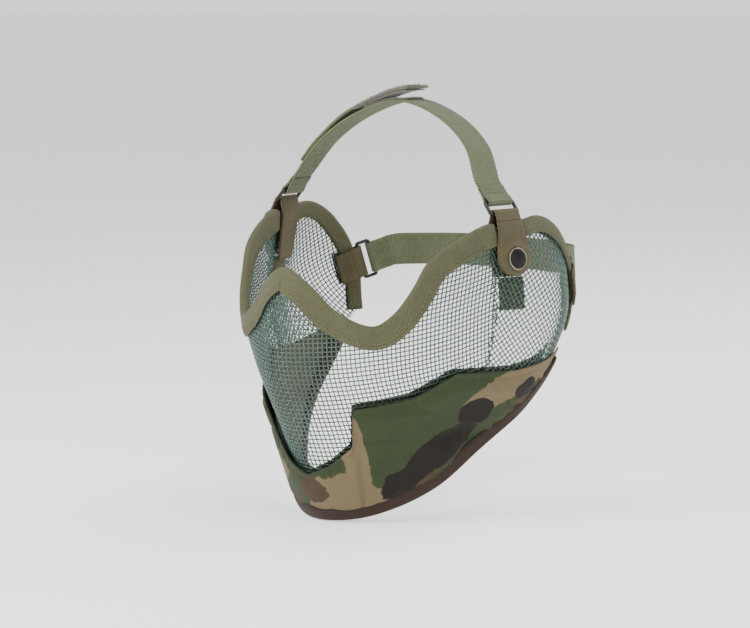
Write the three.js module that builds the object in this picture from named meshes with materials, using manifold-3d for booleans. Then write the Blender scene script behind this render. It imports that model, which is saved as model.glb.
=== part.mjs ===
// Camouflage half-face mask: formed wire mesh, padded cloth jaw, two ear domes and an elastic harness.
// Millimetres. +X is the wearer's left, -Y the way the face looks, +Z up. The origin is the head's centre.
import * as THREE from 'three';
import Module from 'manifold-3d';
import { mergeVertices } from 'three/addons/utils/BufferGeometryUtils.js';

// ---- the form that the mesh is pressed to ----
const FORM_HALF_WIDTH = 87;
const FORM_REACH = 122;
const REAR_REACH = 110;
// stations of the form: height, share of the half width, share of the reach, squareness of the section
const STATIONS = [
  [-118, 0.745, 0.64, 1.4],
  [-93, 0.79, 0.74, 1.37],
  [-67, 0.82, 0.84, 1.41],
  [-50, 0.855, 0.9, 1.49],
  [-28, 0.912, 0.95, 1.68],
  [0, 0.957, 0.925, 2.12],
  [30, 0.95, 0.9, 2.2],
  [62, 0.92, 0.905, 2.2],
];
const ROUNDING = 0.13; // of the section at the nose line and at the ears
const NOSE = { rise: 9.5, halfWidth: 17, height: 5, reach: 24 };
const EAR_DOME = { rise: 13, back: 14, height: 5, length: 22, tall: 30 };

// ---- outlines on the form: angle from the nose in degrees, height ----
const TOP_EDGE = [
  [-7, 22], [0, 30], [7, 22], [15, 7], [26, -2], [33, 5], [39.5, 20], [44, 33], [52, 42], [63, 50], [71, 53],
  [86, 53.5], [96, 55], [105, 51], [113, 42], [120, 27], [124, 6],
];
const BOTTOM_EDGE = [
  [-20, -113], [0, -116], [20, -113], [49, -98], [71, -77], [100, -50], [116, -29], [124, -15],
];
const COVER_TOP = [
  [0, -88], [8, -82], [16, -71], [18, -48], [38, -42], [55, -29], [84, -30], [110, -24], [116, -20],
];
const COLUMN = 2; // degrees between the columns of every sheet on the form
const REAR_ANGLE = 124;
const COVER_ANGLE = 114;
const FOAM_ANGLE = 94;
const FACE_MESH_ANGLE = 72;
const EAR_MESH_ANGLE = 68;
const MESH_UNDER_COVER = 12; // how far the mesh runs down behind the cloth
const HEM_INSET = 2;
const LEAST_HEIGHT = 4;

// ---- sheets: thickness and the clearance between layers ----
const GAP = 0.3;
const MESH_THICKNESS = 1.6;
const CLOTH = 1.2;
const SOFT_GAP = 0.5;
const EDGE_GAP = 0.8; // between an edge and the fold of its binding
const FOAM_INSIDE = 2.0;
const BINDING = 1.2;
const EYE_BINDING_WIDTH = 11;
const EYE_BINDING_END = 70.5;
const LIFT_START = 62; // angles over which the eye binding climbs on to the ear mesh
const LIFT_END = 66;
const EAR_BINDING_WIDTH = 8;
const EAR_BINDING_START = 85;
const EAR_BINDING_FOOT = -12;
const HEM_WIDTH = 7;

const FACE_MESH = [-MESH_THICKNESS / 2, MESH_THICKNESS / 2];
const EAR_MESH = [FACE_MESH[1] + GAP, FACE_MESH[1] + GAP + MESH_THICKNESS];
const COVER = [EAR_MESH[1] + GAP, EAR_MESH[1] + GAP + CLOTH];
const FOAM = [-FOAM_INSIDE, COVER[0] - SOFT_GAP];
const LINING = [FOAM[0] - SOFT_GAP - CLOTH, FOAM[0] - SOFT_GAP];

// ---- harness ----
const STRAP_WIDTH = 20;
const STRAP_THICKNESS = 1.5;
const WEB = 1.2; // webbing thickness
const RING_WIRE = 2.2;
const RING_SPAN = 8; // between the centres of the two long bars
const RING_CORNER = RING_WIRE / 2 + 0.2; // radius of the wire's centre line
const FOLD_WIDTH = STRAP_WIDTH - 2 * GAP;
const LOOP_LENGTH = 10;
const TAB_ANGLE = 78;
const TAB_BAR_HEIGHT = 60;
const TAB_BAR_OFFSET = 0.9;
const TAB_END = 24;
const TAB_END_WIDTH = 23;
const TAB_SPREAD = 6; // below the bar, where the two leaves reach their full spacing
const TAB_OUTER_LEAF = 8;
const FLAP_OFFSET = EAR_MESH[1] + 1.9;
const RING_TILT = 38;
const STRIP_FOOT = 5;
const STRIP_WIDTH = 16;
const REAR_BAR_BACK = 5;
const REAR_HEIGHT = 15;
const REAR_LEAF = 12;
const REAR_SPREAD = 3.2; // ahead of the bar, where the two leaves reach their full spacing
const RIM_SPAN = 8; // half the length of rim that sets the anchor's lean
const REAR_TILT = 4;
const CROWN_HEIGHT = 122;
const CROWN_BACK = -1;
const NAPE = 105;
const NAPE_HEIGHT = 23;

// ---- snap ----
const SNAP_HEIGHT = 33.5;
const CAP_DIAMETER = 12.8;
const CAP_HEIGHT = 2.2;
const STUD_HOLE = 2.3;
const SHANK = 1.8;
const PLATE = 5.6; // radius of the socket, and of the stud's plate with 0.1 less
const SOCKET_BORE = 3.5;
const SOCKET_HEIGHT = 1.4;
const SOCKET_OVER_PLATE = 1.1;
const STUD_PLATE = 0.8;
const STUD_NECK = 2.6;
const STUD_HEAD = 3.1;
const STUD_HEIGHT = 2.5;
const RIVET_RADIUS = 4.6;
const RIVET_BACK = -0.5; // offsets of the rivet's disc over the form
const RIVET_FRONT = 0.2;
const SNAP_BULGE = 1.7; // how far the flap lifts over the socket, and the radii of the bulge
const BULGE_TOP = 8;
const BULGE_FOOT = 11.4;

// ---- tail ----
const TAIL_ROOT = 0.685; // share of the strap's length at which the tail can be peeled from
const TAIL_TIP = 0.465;
const TAIL_LIFT = 4.5;
const TAIL_SPLIT = 0.002; // between the tail and the strap it peels from
const TAPE_FROM_ROOT = 0.04;
const TAPE_FROM_TIP = 0.01;
const TAPE_WIDTH = STRAP_WIDTH - 2;
const PATCH = 0.8; // hook or loop tape
const RETURN_START = 0.95; // share of the strap's length at which it folds back over itself
const CLIMB_START = 0.35; // shares of the folded length over which it rises on to the tapes
const CLIMB_END = 0.95;

const wasm = await Module();
wasm.setup();
const group = new THREE.Group();
const vec = (x, y, z) => new THREE.Vector3(x, y, z);

// ---------------------------------------------------------------- curves
// A smooth curve through [x, ...values] rows, read at x.
function smoothRow(rows, x, column) {
  const last = rows.length - 1;
  if (x <= rows[0][0]) return rows[0][column];
  if (x >= rows[last][0]) return rows[last][column];
  let k = 0;
  while (x > rows[k + 1][0]) k += 1;
  const slope = (i) => {
    const a = rows[Math.max(i - 1, 0)];
    const b = rows[Math.min(i + 1, last)];
    return (b[column] - a[column]) / (b[0] - a[0]);
  };
  const width = rows[k + 1][0] - rows[k][0];
  const t = (x - rows[k][0]) / width;
  const t2 = t * t;
  const t3 = t2 * t;
  return (2 * t3 - 3 * t2 + 1) * rows[k][column] + (t3 - 2 * t2 + t) * width * slope(k)
    + (3 * t2 - 2 * t3) * rows[k + 1][column] + (t3 - t2) * width * slope(k + 1);
}

function straightRow(rows, x) {
  const k = rows.findIndex((row, i) => i > 0 && x <= row[0]);
  if (k < 0) return rows[rows.length - 1][1];
  const t = (x - rows[k - 1][0]) / (rows[k][0] - rows[k - 1][0]);
  return rows[k - 1][1] + t * (rows[k][1] - rows[k - 1][1]);
}

const topEdge = (angle) => smoothRow(TOP_EDGE, Math.abs(angle), 1);
const bottomEdge = (angle) => smoothRow(BOTTOM_EDGE, Math.abs(angle), 1);
const coverTop = (angle) => straightRow(COVER_TOP, Math.abs(angle));

// ---------------------------------------------------------------- the form
function formBase(angle, z) {
  const t = THREE.MathUtils.degToRad(angle);
  const width = smoothRow(STATIONS, z, 1) * FORM_HALF_WIDTH;
  const front = smoothRow(STATIONS, z, 2) * FORM_REACH;
  const power = smoothRow(STATIONS, z, 3);
  const depth = Math.cos(t) >= 0 ? front : REAR_REACH;
  const share = (v) => ((v * v + ROUNDING ** 2) ** (power / 2) - ROUNDING ** power)
    / ((1 + ROUNDING ** 2) ** (power / 2) - ROUNDING ** power);
  const sum = share(Math.sin(t)) / width ** power + share(Math.cos(t)) / depth ** power;
  const radius = sum ** (-1 / power);
  const x = radius * Math.sin(t);
  const y = -radius * Math.cos(t);
  const bell = (d, s) => Math.exp(-(d * d) / (2 * s * s));
  const ridge = NOSE.rise * Math.exp(-((x / NOSE.halfWidth) ** 2)) * bell(z - NOSE.height, NOSE.reach);
  const nose = Math.cos(t) > 0 ? ridge : 0;
  const domeAlong = bell(y - EAR_DOME.back, EAR_DOME.length);
  const dome = EAR_DOME.rise * domeAlong * bell(z - EAR_DOME.height, EAR_DOME.tall);
  return vec(x + Math.sign(Math.sin(t)) * dome, y - nose, z);
}

// Point, outward normal and the two tangents of the form.
function formFrame(angle, z) {
  const step = 0.25;
  const point = formBase(angle, z);
  const around = formBase(angle + step, z).sub(formBase(angle - step, z)).divideScalar(2 * step);
  const rise = formBase(angle, z + step).sub(formBase(angle, z - step)).divideScalar(2 * step);
  const normal = around.clone().cross(rise).normalize();
  return { point, normal, around, rise };
}

function formPoint(angle, z, offset) {
  const { point, normal } = formFrame(angle, z);
  return point.addScaledVector(normal, offset);
}

// ---------------------------------------------------------------- solids
function signedVolume(geometry) {
  const p = geometry.attributes.position;
  const at = (i) => new THREE.Vector3().fromBufferAttribute(p, i);
  let sum = 0;
  for (let i = 0; i < geometry.index.count; i += 3) {
    const [a, b, c] = [0, 1, 2].map((k) => at(geometry.index.getX(i + k)));
    sum += a.dot(b.cross(c));
  }
  return sum;
}

// One welded solid that faces out.
function closed(geometry) {
  geometry.deleteAttribute('normal');
  geometry.deleteAttribute('uv');
  const solid = mergeVertices(geometry, 1e-4);
  if (signedVolume(solid) < 0) {
    const index = solid.index.array;
    for (let i = 0; i < index.length; i += 3) [index[i], index[i + 1]] = [index[i + 1], index[i]];
  }
  return solid;
}

// Moves every vertex of a geometry by place(x, y, z).
function bend(geometry, place) {
  const p = geometry.attributes.position;
  for (let i = 0; i < p.count; i += 1) {
    const q = place(p.getX(i), p.getY(i), p.getZ(i));
    p.setXYZ(i, q.x, q.y, q.z);
  }
  return closed(geometry);
}

function mirrored(geometry) {
  const copy = geometry.clone().scale(-1, 1, 1);
  return closed(copy);
}

function add(name, geometry, material) {
  geometry.computeVertexNormals();
  const mesh = new THREE.Mesh(geometry, material);
  mesh.name = name;
  group.add(mesh);
}

function addPair(name, geometry, material) {
  add(`${name}_left`, geometry, material);
  add(`${name}_right`, mirrored(geometry), material);
}

function toManifold(geometry) {
  const vertProperties = Float32Array.from(geometry.attributes.position.array);
  const triVerts = Uint32Array.from(geometry.index.array);
  return new wasm.Manifold(new wasm.Mesh({ numProp: 3, vertProperties, triVerts }));
}

function cut(geometry, tool) {
  const mesh = toManifold(geometry).subtract(toManifold(tool)).getMesh();
  const result = new THREE.BufferGeometry();
  result.setAttribute('position', new THREE.BufferAttribute(mesh.vertProperties, 3));
  result.setIndex(new THREE.BufferAttribute(mesh.triVerts, 1));
  return result;
}

// A sheet on the form between two angles and two edges.
function sheet(from, to, bottom, top, layer, rows) {
  const box = new THREE.BoxGeometry(to - from, 1, 1, Math.round((to - from) / COLUMN), rows, 1);
  const middle = (from + to) / 2;
  return bend(box, (x, y, z) => {
    const angle = middle + x;
    const low = bottom(angle);
    const high = Math.max(top(angle), low + LEAST_HEIGHT);
    return formPoint(angle, low + (y + 0.5) * (high - low), layer[0] + (z + 0.5) * (layer[1] - layer[0]));
  });
}

// The outline of a ribbon of even thickness along a line of [x, y] points.
function ribbonShape(points, thickness) {
  const line = points.map(([x, y]) => new THREE.Vector2(x, y));
  const side = (sign) => line.map((p, i) => {
    const before = p.clone().sub(line[Math.max(i - 1, 0)]).normalize();
    const after = line[Math.min(i + 1, line.length - 1)].clone().sub(p).normalize();
    if (i === 0) before.copy(after);
    if (i === line.length - 1) after.copy(before);
    const mitre = before.clone().add(after).normalize();
    const reach = (sign * thickness) / 2 / Math.max(mitre.dot(before), 0.5);
    return new THREE.Vector2(p.x - mitre.y * reach, p.y + mitre.x * reach);
  });
  return new THREE.Shape([...side(1), ...side(-1).reverse()]);
}

const extrude = (shape, depth, steps) => (
  new THREE.ExtrudeGeometry(shape, { depth, steps, bevelEnabled: false }));

// ---------------------------------------------------------------- edge bindings
// A route of [angle, height] pairs along an edge, read at a share of its length.
function edgeRoute(pairs) {
  const points = pairs.map(([angle, z]) => formBase(angle, z));
  const lengths = [0];
  for (let i = 1; i < points.length; i += 1) {
    lengths.push(lengths[i - 1] + points[i].distanceTo(points[i - 1]));
  }
  const total = lengths[lengths.length - 1];
  const rows = pairs.map(([angle, z], i) => [lengths[i] / total, angle, z]);
  return (s) => [1, 2].map((column) => smoothRow(rows, s, column));
}

// Folded binding: profile x runs inward from the edge and y is the height over the form.
// lift(angle) raises its outer layer.
function bindEdge(route, width, layers, steps, inwardSign, lift = () => 0) {
  const [inner, outer] = layers;
  const back = -EDGE_GAP - BINDING / 2;
  const profile = ribbonShape([
    [width, inner], [width / 2, inner], [back, inner], [back, outer], [width / 2, outer], [width, outer],
  ], BINDING);
  return bend(extrude(profile, 1, steps), (x, y, s) => {
    const [angle, z] = route(s);
    const [angleA, zA] = route(Math.max(s - 0.004, 0));
    const [angleB, zB] = route(Math.min(s + 0.004, 1));
    const { around, rise } = formFrame(angle, z);
    const run = new THREE.Vector2((angleB - angleA) * around.length(), (zB - zA) * rise.length()).normalize();
    const inward = new THREE.Vector2(-run.y, run.x).multiplyScalar(inwardSign * x);
    const height = y > 0 ? y + lift(angle) : y;
    return formPoint(angle + inward.x / around.length(), z + inward.y / rise.length(), height);
  });
}

function spread(from, to, count) {
  return Array.from({ length: count + 1 }, (_, i) => from + ((to - from) * i) / count);
}

// ---------------------------------------------------------------- materials
const paint = (color, roughness, metalness) => (
  new THREE.MeshStandardMaterial({ color, roughness, metalness }));
const MATERIAL = {
  mesh: paint(0x54685f, 0.5, 0.4),
  webbing: paint(0x7d7d5a, 0.9, 0),
  tab: paint(0x7d7350, 0.8, 0),
  strap: paint(0x8f9270, 0.9, 0),
  tape: paint(0x3f4034, 1, 0),
  camo: paint(0x4c5c38, 0.9, 0),
  hem: paint(0x463228, 0.9, 0),
  lining: paint(0x55503c, 0.95, 0),
  foam: paint(0x3a3a38, 1, 0),
  wire: paint(0x3b3d38, 0.35, 0.9),
  cap: paint(0x16140f, 0.25, 0.6),
  steel: paint(0x9a9a92, 0.35, 0.9),
};

// ---------------------------------------------------------------- snap, left side
const snap = formFrame(TAB_ANGLE, SNAP_HEIGHT);

// A turned part on the snap's axis from [radius, height over the form] points.
function turned(points, segments = 16) {
  const lathe = new THREE.LatheGeometry(points.map(([r, h]) => new THREE.Vector2(r, h)), segments);
  const turn = new THREE.Quaternion().setFromUnitVectors(vec(0, 1, 0), snap.normal);
  return bend(lathe, (x, y, z) => vec(x, y, z).applyQuaternion(turn).add(snap.point));
}

const STUD_BASE = EAR_MESH[1] + GAP;
const SOCKET_BASE = STUD_BASE + SOCKET_OVER_PLATE;
const CAP_BASE = FLAP_OFFSET + CLOTH + SNAP_BULGE + GAP;
const cap = CAP_DIAMETER / 2;
const shankHole = turned([[0, -6], [STUD_HOLE, -6], [STUD_HOLE, 8], [0, 8]]);

// ---------------------------------------------------------------- mesh, jaw and bindings
const meshFoot = (angle) => Math.max(coverTop(angle) - MESH_UNDER_COVER, bottomEdge(angle) + HEM_INSET);
add('face_mesh', sheet(-FACE_MESH_ANGLE, FACE_MESH_ANGLE, meshFoot, topEdge, FACE_MESH, 9), MATERIAL.mesh);
const earSheet = sheet(EAR_MESH_ANGLE, REAR_ANGLE, meshFoot, topEdge, EAR_MESH, 8);
addPair('ear_mesh', cut(earSheet, shankHole), MATERIAL.mesh);

const hemFoot = (angle) => bottomEdge(angle) + HEM_INSET;
const foamTop = (angle) => coverTop(angle) - MESH_UNDER_COVER - HEM_INSET;
add('jaw_cover', sheet(-COVER_ANGLE, COVER_ANGLE, hemFoot, coverTop, COVER, 5), MATERIAL.camo);
add('jaw_foam', sheet(-FOAM_ANGLE, FOAM_ANGLE, hemFoot, foamTop, FOAM, 3), MATERIAL.foam);
add('jaw_lining', sheet(-COVER_ANGLE, COVER_ANGLE, hemFoot, coverTop, LINING, 3), MATERIAL.lining);

const eyeRoute = edgeRoute(spread(-EYE_BINDING_END, EYE_BINDING_END, 65).map((a) => [a, topEdge(a)]));
const overMesh = FACE_MESH[1] + SOFT_GAP + BINDING / 2;
const eyeLift = (angle) => (
  (EAR_MESH[1] - FACE_MESH[1]) * THREE.MathUtils.smoothstep(Math.abs(angle), LIFT_START, LIFT_END));
const eyeBinding = bindEdge(eyeRoute, EYE_BINDING_WIDTH, [-overMesh, overMesh], 75, -1, eyeLift);
add('eye_edge_binding', eyeBinding, MATERIAL.webbing);

const rearEnd = REAR_ANGLE;
const earPairs = spread(EAR_BINDING_START, rearEnd, 16).map((a) => [a, topEdge(a)]);
const rearPairs = spread(topEdge(rearEnd), EAR_BINDING_FOOT, 4).slice(1).map((z) => [rearEnd, z]);
const earRoute = edgeRoute([...earPairs, ...rearPairs]);
const earLayers = [EAR_MESH[0] - GAP - BINDING / 2, EAR_MESH[1] + GAP + BINDING / 2];
addPair('ear_edge_binding', bindEdge(earRoute, EAR_BINDING_WIDTH, earLayers, 22, -1), MATERIAL.webbing);

const hemRoute = edgeRoute(spread(-COVER_ANGLE, COVER_ANGLE, 57).map((a) => [a, hemFoot(a)]));
const hemLayers = [LINING[0] - SOFT_GAP - BINDING / 2, COVER[1] + SOFT_GAP + BINDING / 2];
add('jaw_edge_binding', bindEdge(hemRoute, HEM_WIDTH, hemLayers, 76, 1), MATERIAL.hem);

// ---------------------------------------------------------------- webbing folded round a ring's bar
const bar = RING_WIRE / 2;

// Centre line of webbing that comes along yIn, turns round the bar at y and goes back along yOut.
function foldLine(longLeaf, yIn, y, yOut, shortLeaf, spreadAt) {
  const r = bar + GAP + WEB / 2;
  const arc = spread(-90, -270, 8).map((a) => THREE.MathUtils.degToRad(a));
  const turn = arc.map((a) => [r * Math.cos(a), y + r * Math.sin(a)]);
  return [[longLeaf, yIn], [spreadAt, yIn], ...turn, [spreadAt, yOut], [shortLeaf, yOut]];
}

// Strip of the form under the tab: across, down below the bar, offset over the form.
// It is straight at the bar.
const tabBar = formFrame(TAB_ANGLE, TAB_BAR_HEIGHT);
const tabAlong = tabBar.around.clone().normalize();
const STRAIGHT = 2.7; // how far webbing stays straight past a bar
function underTab(across, down, offset) {
  const onForm = formPoint(TAB_ANGLE + across / tabBar.around.length(), TAB_BAR_HEIGHT - down, offset);
  const straight = formPoint(TAB_ANGLE, TAB_BAR_HEIGHT - down, offset).addScaledVector(tabAlong, across);
  return straight.lerp(onForm, THREE.MathUtils.smoothstep(down, STRAIGHT, TAB_SPREAD));
}

const innerLeaf = FACE_MESH[0] - GAP - BINDING - GAP - WEB / 2;
const outerLeaf = FLAP_OFFSET + WEB / 2;
const tabLength = TAB_BAR_HEIGHT - TAB_END;
const tabLine = foldLine(tabLength, innerLeaf, TAB_BAR_OFFSET, outerLeaf, TAB_OUTER_LEAF, TAB_SPREAD);
const innerRun = spread(30, 12, 3).map((x) => [x, innerLeaf]);
const tabFold = [tabLine[0], ...innerRun, ...tabLine.slice(1)];
addPair('tab', bend(extrude(ribbonShape(tabFold, WEB), FOLD_WIDTH, 6), (down, offset, across) => (
  underTab(across - FOLD_WIDTH / 2, down, offset))), MATERIAL.tab);

// The flap hangs from the fold, widens round the snap and ends round.
const flapTop = TAB_OUTER_LEAF + GAP;
const flapLength = TAB_BAR_HEIGHT - TAB_END - flapTop;
const snapDown = TAB_BAR_HEIGHT - SNAP_HEIGHT;
const smooth = (x, a, b) => THREE.MathUtils.smoothstep(x, a, b);
const flap = bend(new THREE.BoxGeometry(1, 1, 1, 8, 12, 1), (x, y, z) => {
  const down = flapTop + (0.5 - y) * flapLength;
  const fromEnd = flapTop + flapLength - down;
  const round = TAB_END_WIDTH / 2;
  const belly = Math.sqrt(Math.max(round ** 2 - Math.max(round - fromEnd, 0) ** 2, 9));
  const narrowing = smooth(fromEnd, round, flapLength);
  const half = fromEnd < round ? belly : THREE.MathUtils.lerp(round, STRAP_WIDTH / 2, narrowing);
  const across = 2 * x * half;
  const fromSnap = Math.hypot(across, down - snapDown);
  const rise = SNAP_BULGE * (1 - smooth(fromSnap, BULGE_TOP, BULGE_FOOT));
  return underTab(across, down, FLAP_OFFSET + rise + (z + 0.5) * CLOTH);
});
addPair('tab_flap', flap, MATERIAL.tab);

const capShoulder = CAP_BASE + 0.55 * CAP_HEIGHT;
const capProfile = [
  [0, CAP_BASE], [cap, CAP_BASE], [cap, CAP_BASE + 0.3 * CAP_HEIGHT], [cap * 0.92, capShoulder],
  [cap * 0.8, capShoulder], [cap * 0.7, CAP_BASE + 0.75 * CAP_HEIGHT], [cap * 0.4, CAP_BASE + CAP_HEIGHT],
  [0, CAP_BASE + CAP_HEIGHT],
];
addPair('snap_cap', turned(capProfile, 24), MATERIAL.cap);
const socketTop = SOCKET_BASE + SOCKET_HEIGHT;
addPair('snap_socket', turned([
  [SOCKET_BORE, SOCKET_BASE], [PLATE, SOCKET_BASE], [PLATE, socketTop], [SOCKET_BORE, socketTop],
  [SOCKET_BORE, SOCKET_BASE],
]), MATERIAL.steel);
const studPlate = STUD_BASE + STUD_PLATE;
addPair('snap_stud', turned([
  [0, STUD_BASE], [PLATE - 0.1, STUD_BASE], [PLATE - 0.1, studPlate], [STUD_NECK, studPlate],
  [STUD_HEAD, STUD_BASE + 0.7 * STUD_HEIGHT], [STUD_NECK, STUD_BASE + STUD_HEIGHT], [0, STUD_BASE + STUD_HEIGHT],
]), MATERIAL.steel);
addPair('snap_rivet', turned([
  [0, RIVET_BACK], [RIVET_RADIUS, RIVET_BACK], [RIVET_RADIUS, RIVET_FRONT], [SHANK, RIVET_FRONT],
  [SHANK, EAR_MESH[1]], [0, EAR_MESH[1]],
]), MATERIAL.steel);

// The webbing strip that stiffens the mesh below the tab, on its inside.
const stripOffset = EAR_MESH[0] - SOFT_GAP - WEB;
const stripTop = TAB_BAR_HEIGHT - TAB_END + GAP;
const strip = bend(new THREE.BoxGeometry(1, 1, 1, 5, 6, 1), (x, y, z) => underTab(
  x * STRIP_WIDTH, stripTop + (0.5 - y) * (TAB_END - STRIP_FOOT), stripOffset + (z + 0.5) * WEB));
addPair('anchor_strip', strip, MATERIAL.webbing);

// ---------------------------------------------------------------- rings and sewn loops
// A frame at a ring's held bar: along the bar, towards the other bar, and out of the ring.
function ringFrame(origin, along, toward) {
  const across = along.clone().normalize();
  const run = toward.clone().addScaledVector(across, -toward.dot(across)).normalize();
  return { origin, across, run, out: across.clone().cross(run) };
}

const inFrame = (frame, across, run, out) => (
  frame.origin.clone().addScaledVector(frame.across, across).addScaledVector(frame.run, run)
    .addScaledVector(frame.out, out));

function ring(frame) {
  const straightLong = FOLD_WIDTH / 2 + GAP;
  const straightShort = RING_SPAN / 2 - RING_CORNER;
  const torus = new THREE.TorusGeometry(RING_CORNER, bar, 6, 28).rotateZ(Math.PI / 28);
  return bend(torus, (x, y, z) => (
    inFrame(frame, x + Math.sign(x) * straightLong, RING_SPAN / 2 + y + Math.sign(y) * straightShort, z)));
}

function sewnLoop(frame) {
  const half = GAP + WEB / 2;
  const line = foldLine(LOOP_LENGTH, -half, 0, half, LOOP_LENGTH, 4.5);
  return bend(extrude(ribbonShape(line, WEB), FOLD_WIDTH, 1), (run, out, across) => (
    inFrame(frame, across - FOLD_WIDTH / 2, RING_SPAN + run, out)));
}

const tilt = (axis, direction, degrees) => (
  direction.clone().applyAxisAngle(axis, THREE.MathUtils.degToRad(degrees)));
const headFrame = ringFrame(formPoint(TAB_ANGLE, TAB_BAR_HEIGHT, TAB_BAR_OFFSET), tabAlong,
  tilt(tabAlong, vec(0, 0, 1), -RING_TILT));
addPair('head_ring', ring(headFrame), MATERIAL.wire);
addPair('strap_loop', sewnLoop(headFrame), MATERIAL.strap);

// ---------------------------------------------------------------- rear anchor on the ear's rim
const rimAngle = (z) => spread(REAR_ANGLE, 110, 140).find((a) => topEdge(a) >= z);
const rimMiddle = rimAngle(REAR_HEIGHT);
const rim = formFrame(rimMiddle, REAR_HEIGHT);
const rimTurn = rimAngle(REAR_HEIGHT + RIM_SPAN) - rimAngle(REAR_HEIGHT - RIM_SPAN);
const rimLean = Math.atan2(-rimTurn * rim.around.length(), 2 * RIM_SPAN);

// Beside the rim: forward of the bar, offset over the form, along the rim. It is straight at the bar.
function besideRim(forward, offset, along) {
  const ahead = forward - REAR_BAR_BACK;
  const back = -along * Math.sin(rimLean) - ahead * Math.cos(rimLean);
  const up = along * Math.cos(rimLean) - ahead * Math.sin(rimLean);
  return formPoint(rimMiddle + back / rim.around.length(), REAR_HEIGHT + up, offset);
}
const rimStep = besideRim(0, 0, 1).sub(besideRim(0, 0, -1)).divideScalar(2);
function rearPlace(forward, offset, along) {
  const straight = besideRim(forward, offset, 0).addScaledVector(rimStep, along);
  const spreading = THREE.MathUtils.smoothstep(forward, STRAIGHT, TAB_SPREAD);
  return straight.lerp(besideRim(forward, offset, along), spreading);
}
const rearMiddle = (earLayers[0] + earLayers[1]) / 2;
const rearIn = earLayers[0] - BINDING / 2 - SOFT_GAP - WEB / 2;
const rearOut = earLayers[1] + BINDING / 2 + SOFT_GAP + WEB / 2;
const rearReach = REAR_BAR_BACK + REAR_LEAF;
const rearHalfway = REAR_BAR_BACK + REAR_LEAF / 2;
const rearLine = foldLine(rearReach, rearIn, rearMiddle, rearOut, rearReach, REAR_SPREAD);
const rearFold = [rearLine[0], [rearHalfway, rearIn], ...rearLine.slice(1, -1),
  [rearHalfway, rearOut], rearLine[rearLine.length - 1]];
addPair('rear_anchor', bend(extrude(ribbonShape(rearFold, WEB), FOLD_WIDTH, 5), (forward, offset, along) => (
  rearPlace(forward, offset, along - FOLD_WIDTH / 2))), MATERIAL.tab);

const rearBar = rearPlace(0, rearMiddle, 0);
const rearRun = rearPlace(-2, rearMiddle, 0).sub(rearBar).normalize();
const rearAlong = rimStep.clone().negate();
const rearFrame = ringFrame(rearBar, rearAlong, tilt(rearAlong, rearRun, -REAR_TILT));
addPair('rear_ring', ring(rearFrame), MATERIAL.wire);
addPair('rear_loop', sewnLoop(rearFrame), MATERIAL.strap);

// ---------------------------------------------------------------- straps
const flip = (v) => vec(-v.x, v.y, v.z);

// A strap from the left loop to the right loop over the given left half points, centre last.
function strapPath(frame, between) {
  const start = RING_SPAN + LOOP_LENGTH + GAP;
  const half = [inFrame(frame, 0, start, 0), inFrame(frame, 0, start + 4, 0), ...between];
  const points = [...half, ...half.slice(0, -1).reverse().map(flip)];
  const curve = new THREE.CatmullRomCurve3(points, false, 'centripetal');
  curve.arcLengthDivisions = 400;
  return (s, across, height) => {
    const point = curve.getPointAt(s);
    const run = curve.getTangentAt(s);
    const turn = Math.abs(1 - 2 * s) ** 1.5;
    const end = s < 0.5 ? frame.across.clone() : flip(frame.across);
    const middle = between[0].z > TAB_BAR_HEIGHT ? vec(0, 1, 0) : vec(0, 0, -1);
    const width = middle.lerp(end, turn);
    width.addScaledVector(run, -width.dot(run)).normalize();
    const out = width.clone().cross(run);
    return point.addScaledVector(width, across).addScaledVector(out, height);
  };
}

// A length of strap; lift(t) adds to the height along it.
function ribbon(path, from, to, width, layer, steps, lift = () => 0) {
  const box = new THREE.BoxGeometry(1, 1, 1, steps, 1, 1);
  return bend(box, (x, y, z) => {
    const t = x + 0.5;
    return path(from + (to - from) * t, y * width, layer[0] + (z + 0.5) * (layer[1] - layer[0]) + lift(t));
  });
}

const headPath = strapPath(headFrame, [
  vec(55, CROWN_BACK - 7, 97), vec(31, CROWN_BACK - 2, 113.5), vec(0, CROWN_BACK, CROWN_HEIGHT),
]);
const rearPath = strapPath(rearFrame, [
  vec(60, 87, NAPE_HEIGHT), vec(32, 101, NAPE_HEIGHT), vec(0, NAPE, NAPE_HEIGHT),
]);
const STRAP = [-STRAP_THICKNESS / 2, STRAP_THICKNESS / 2];
const LOOP_TAPE = [STRAP[1] + GAP, STRAP[1] + GAP + PATCH];
const HOOK_TAPE = [LOOP_TAPE[1] + GAP, LOOP_TAPE[1] + GAP + PATCH];
const TAIL = [HOOK_TAPE[1] + GAP, HOOK_TAPE[1] + GAP + STRAP_THICKNESS];
const RETURN_LAYER = [STRAP[1] + SOFT_GAP, STRAP[1] + SOFT_GAP + STRAP_THICKNESS];

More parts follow.
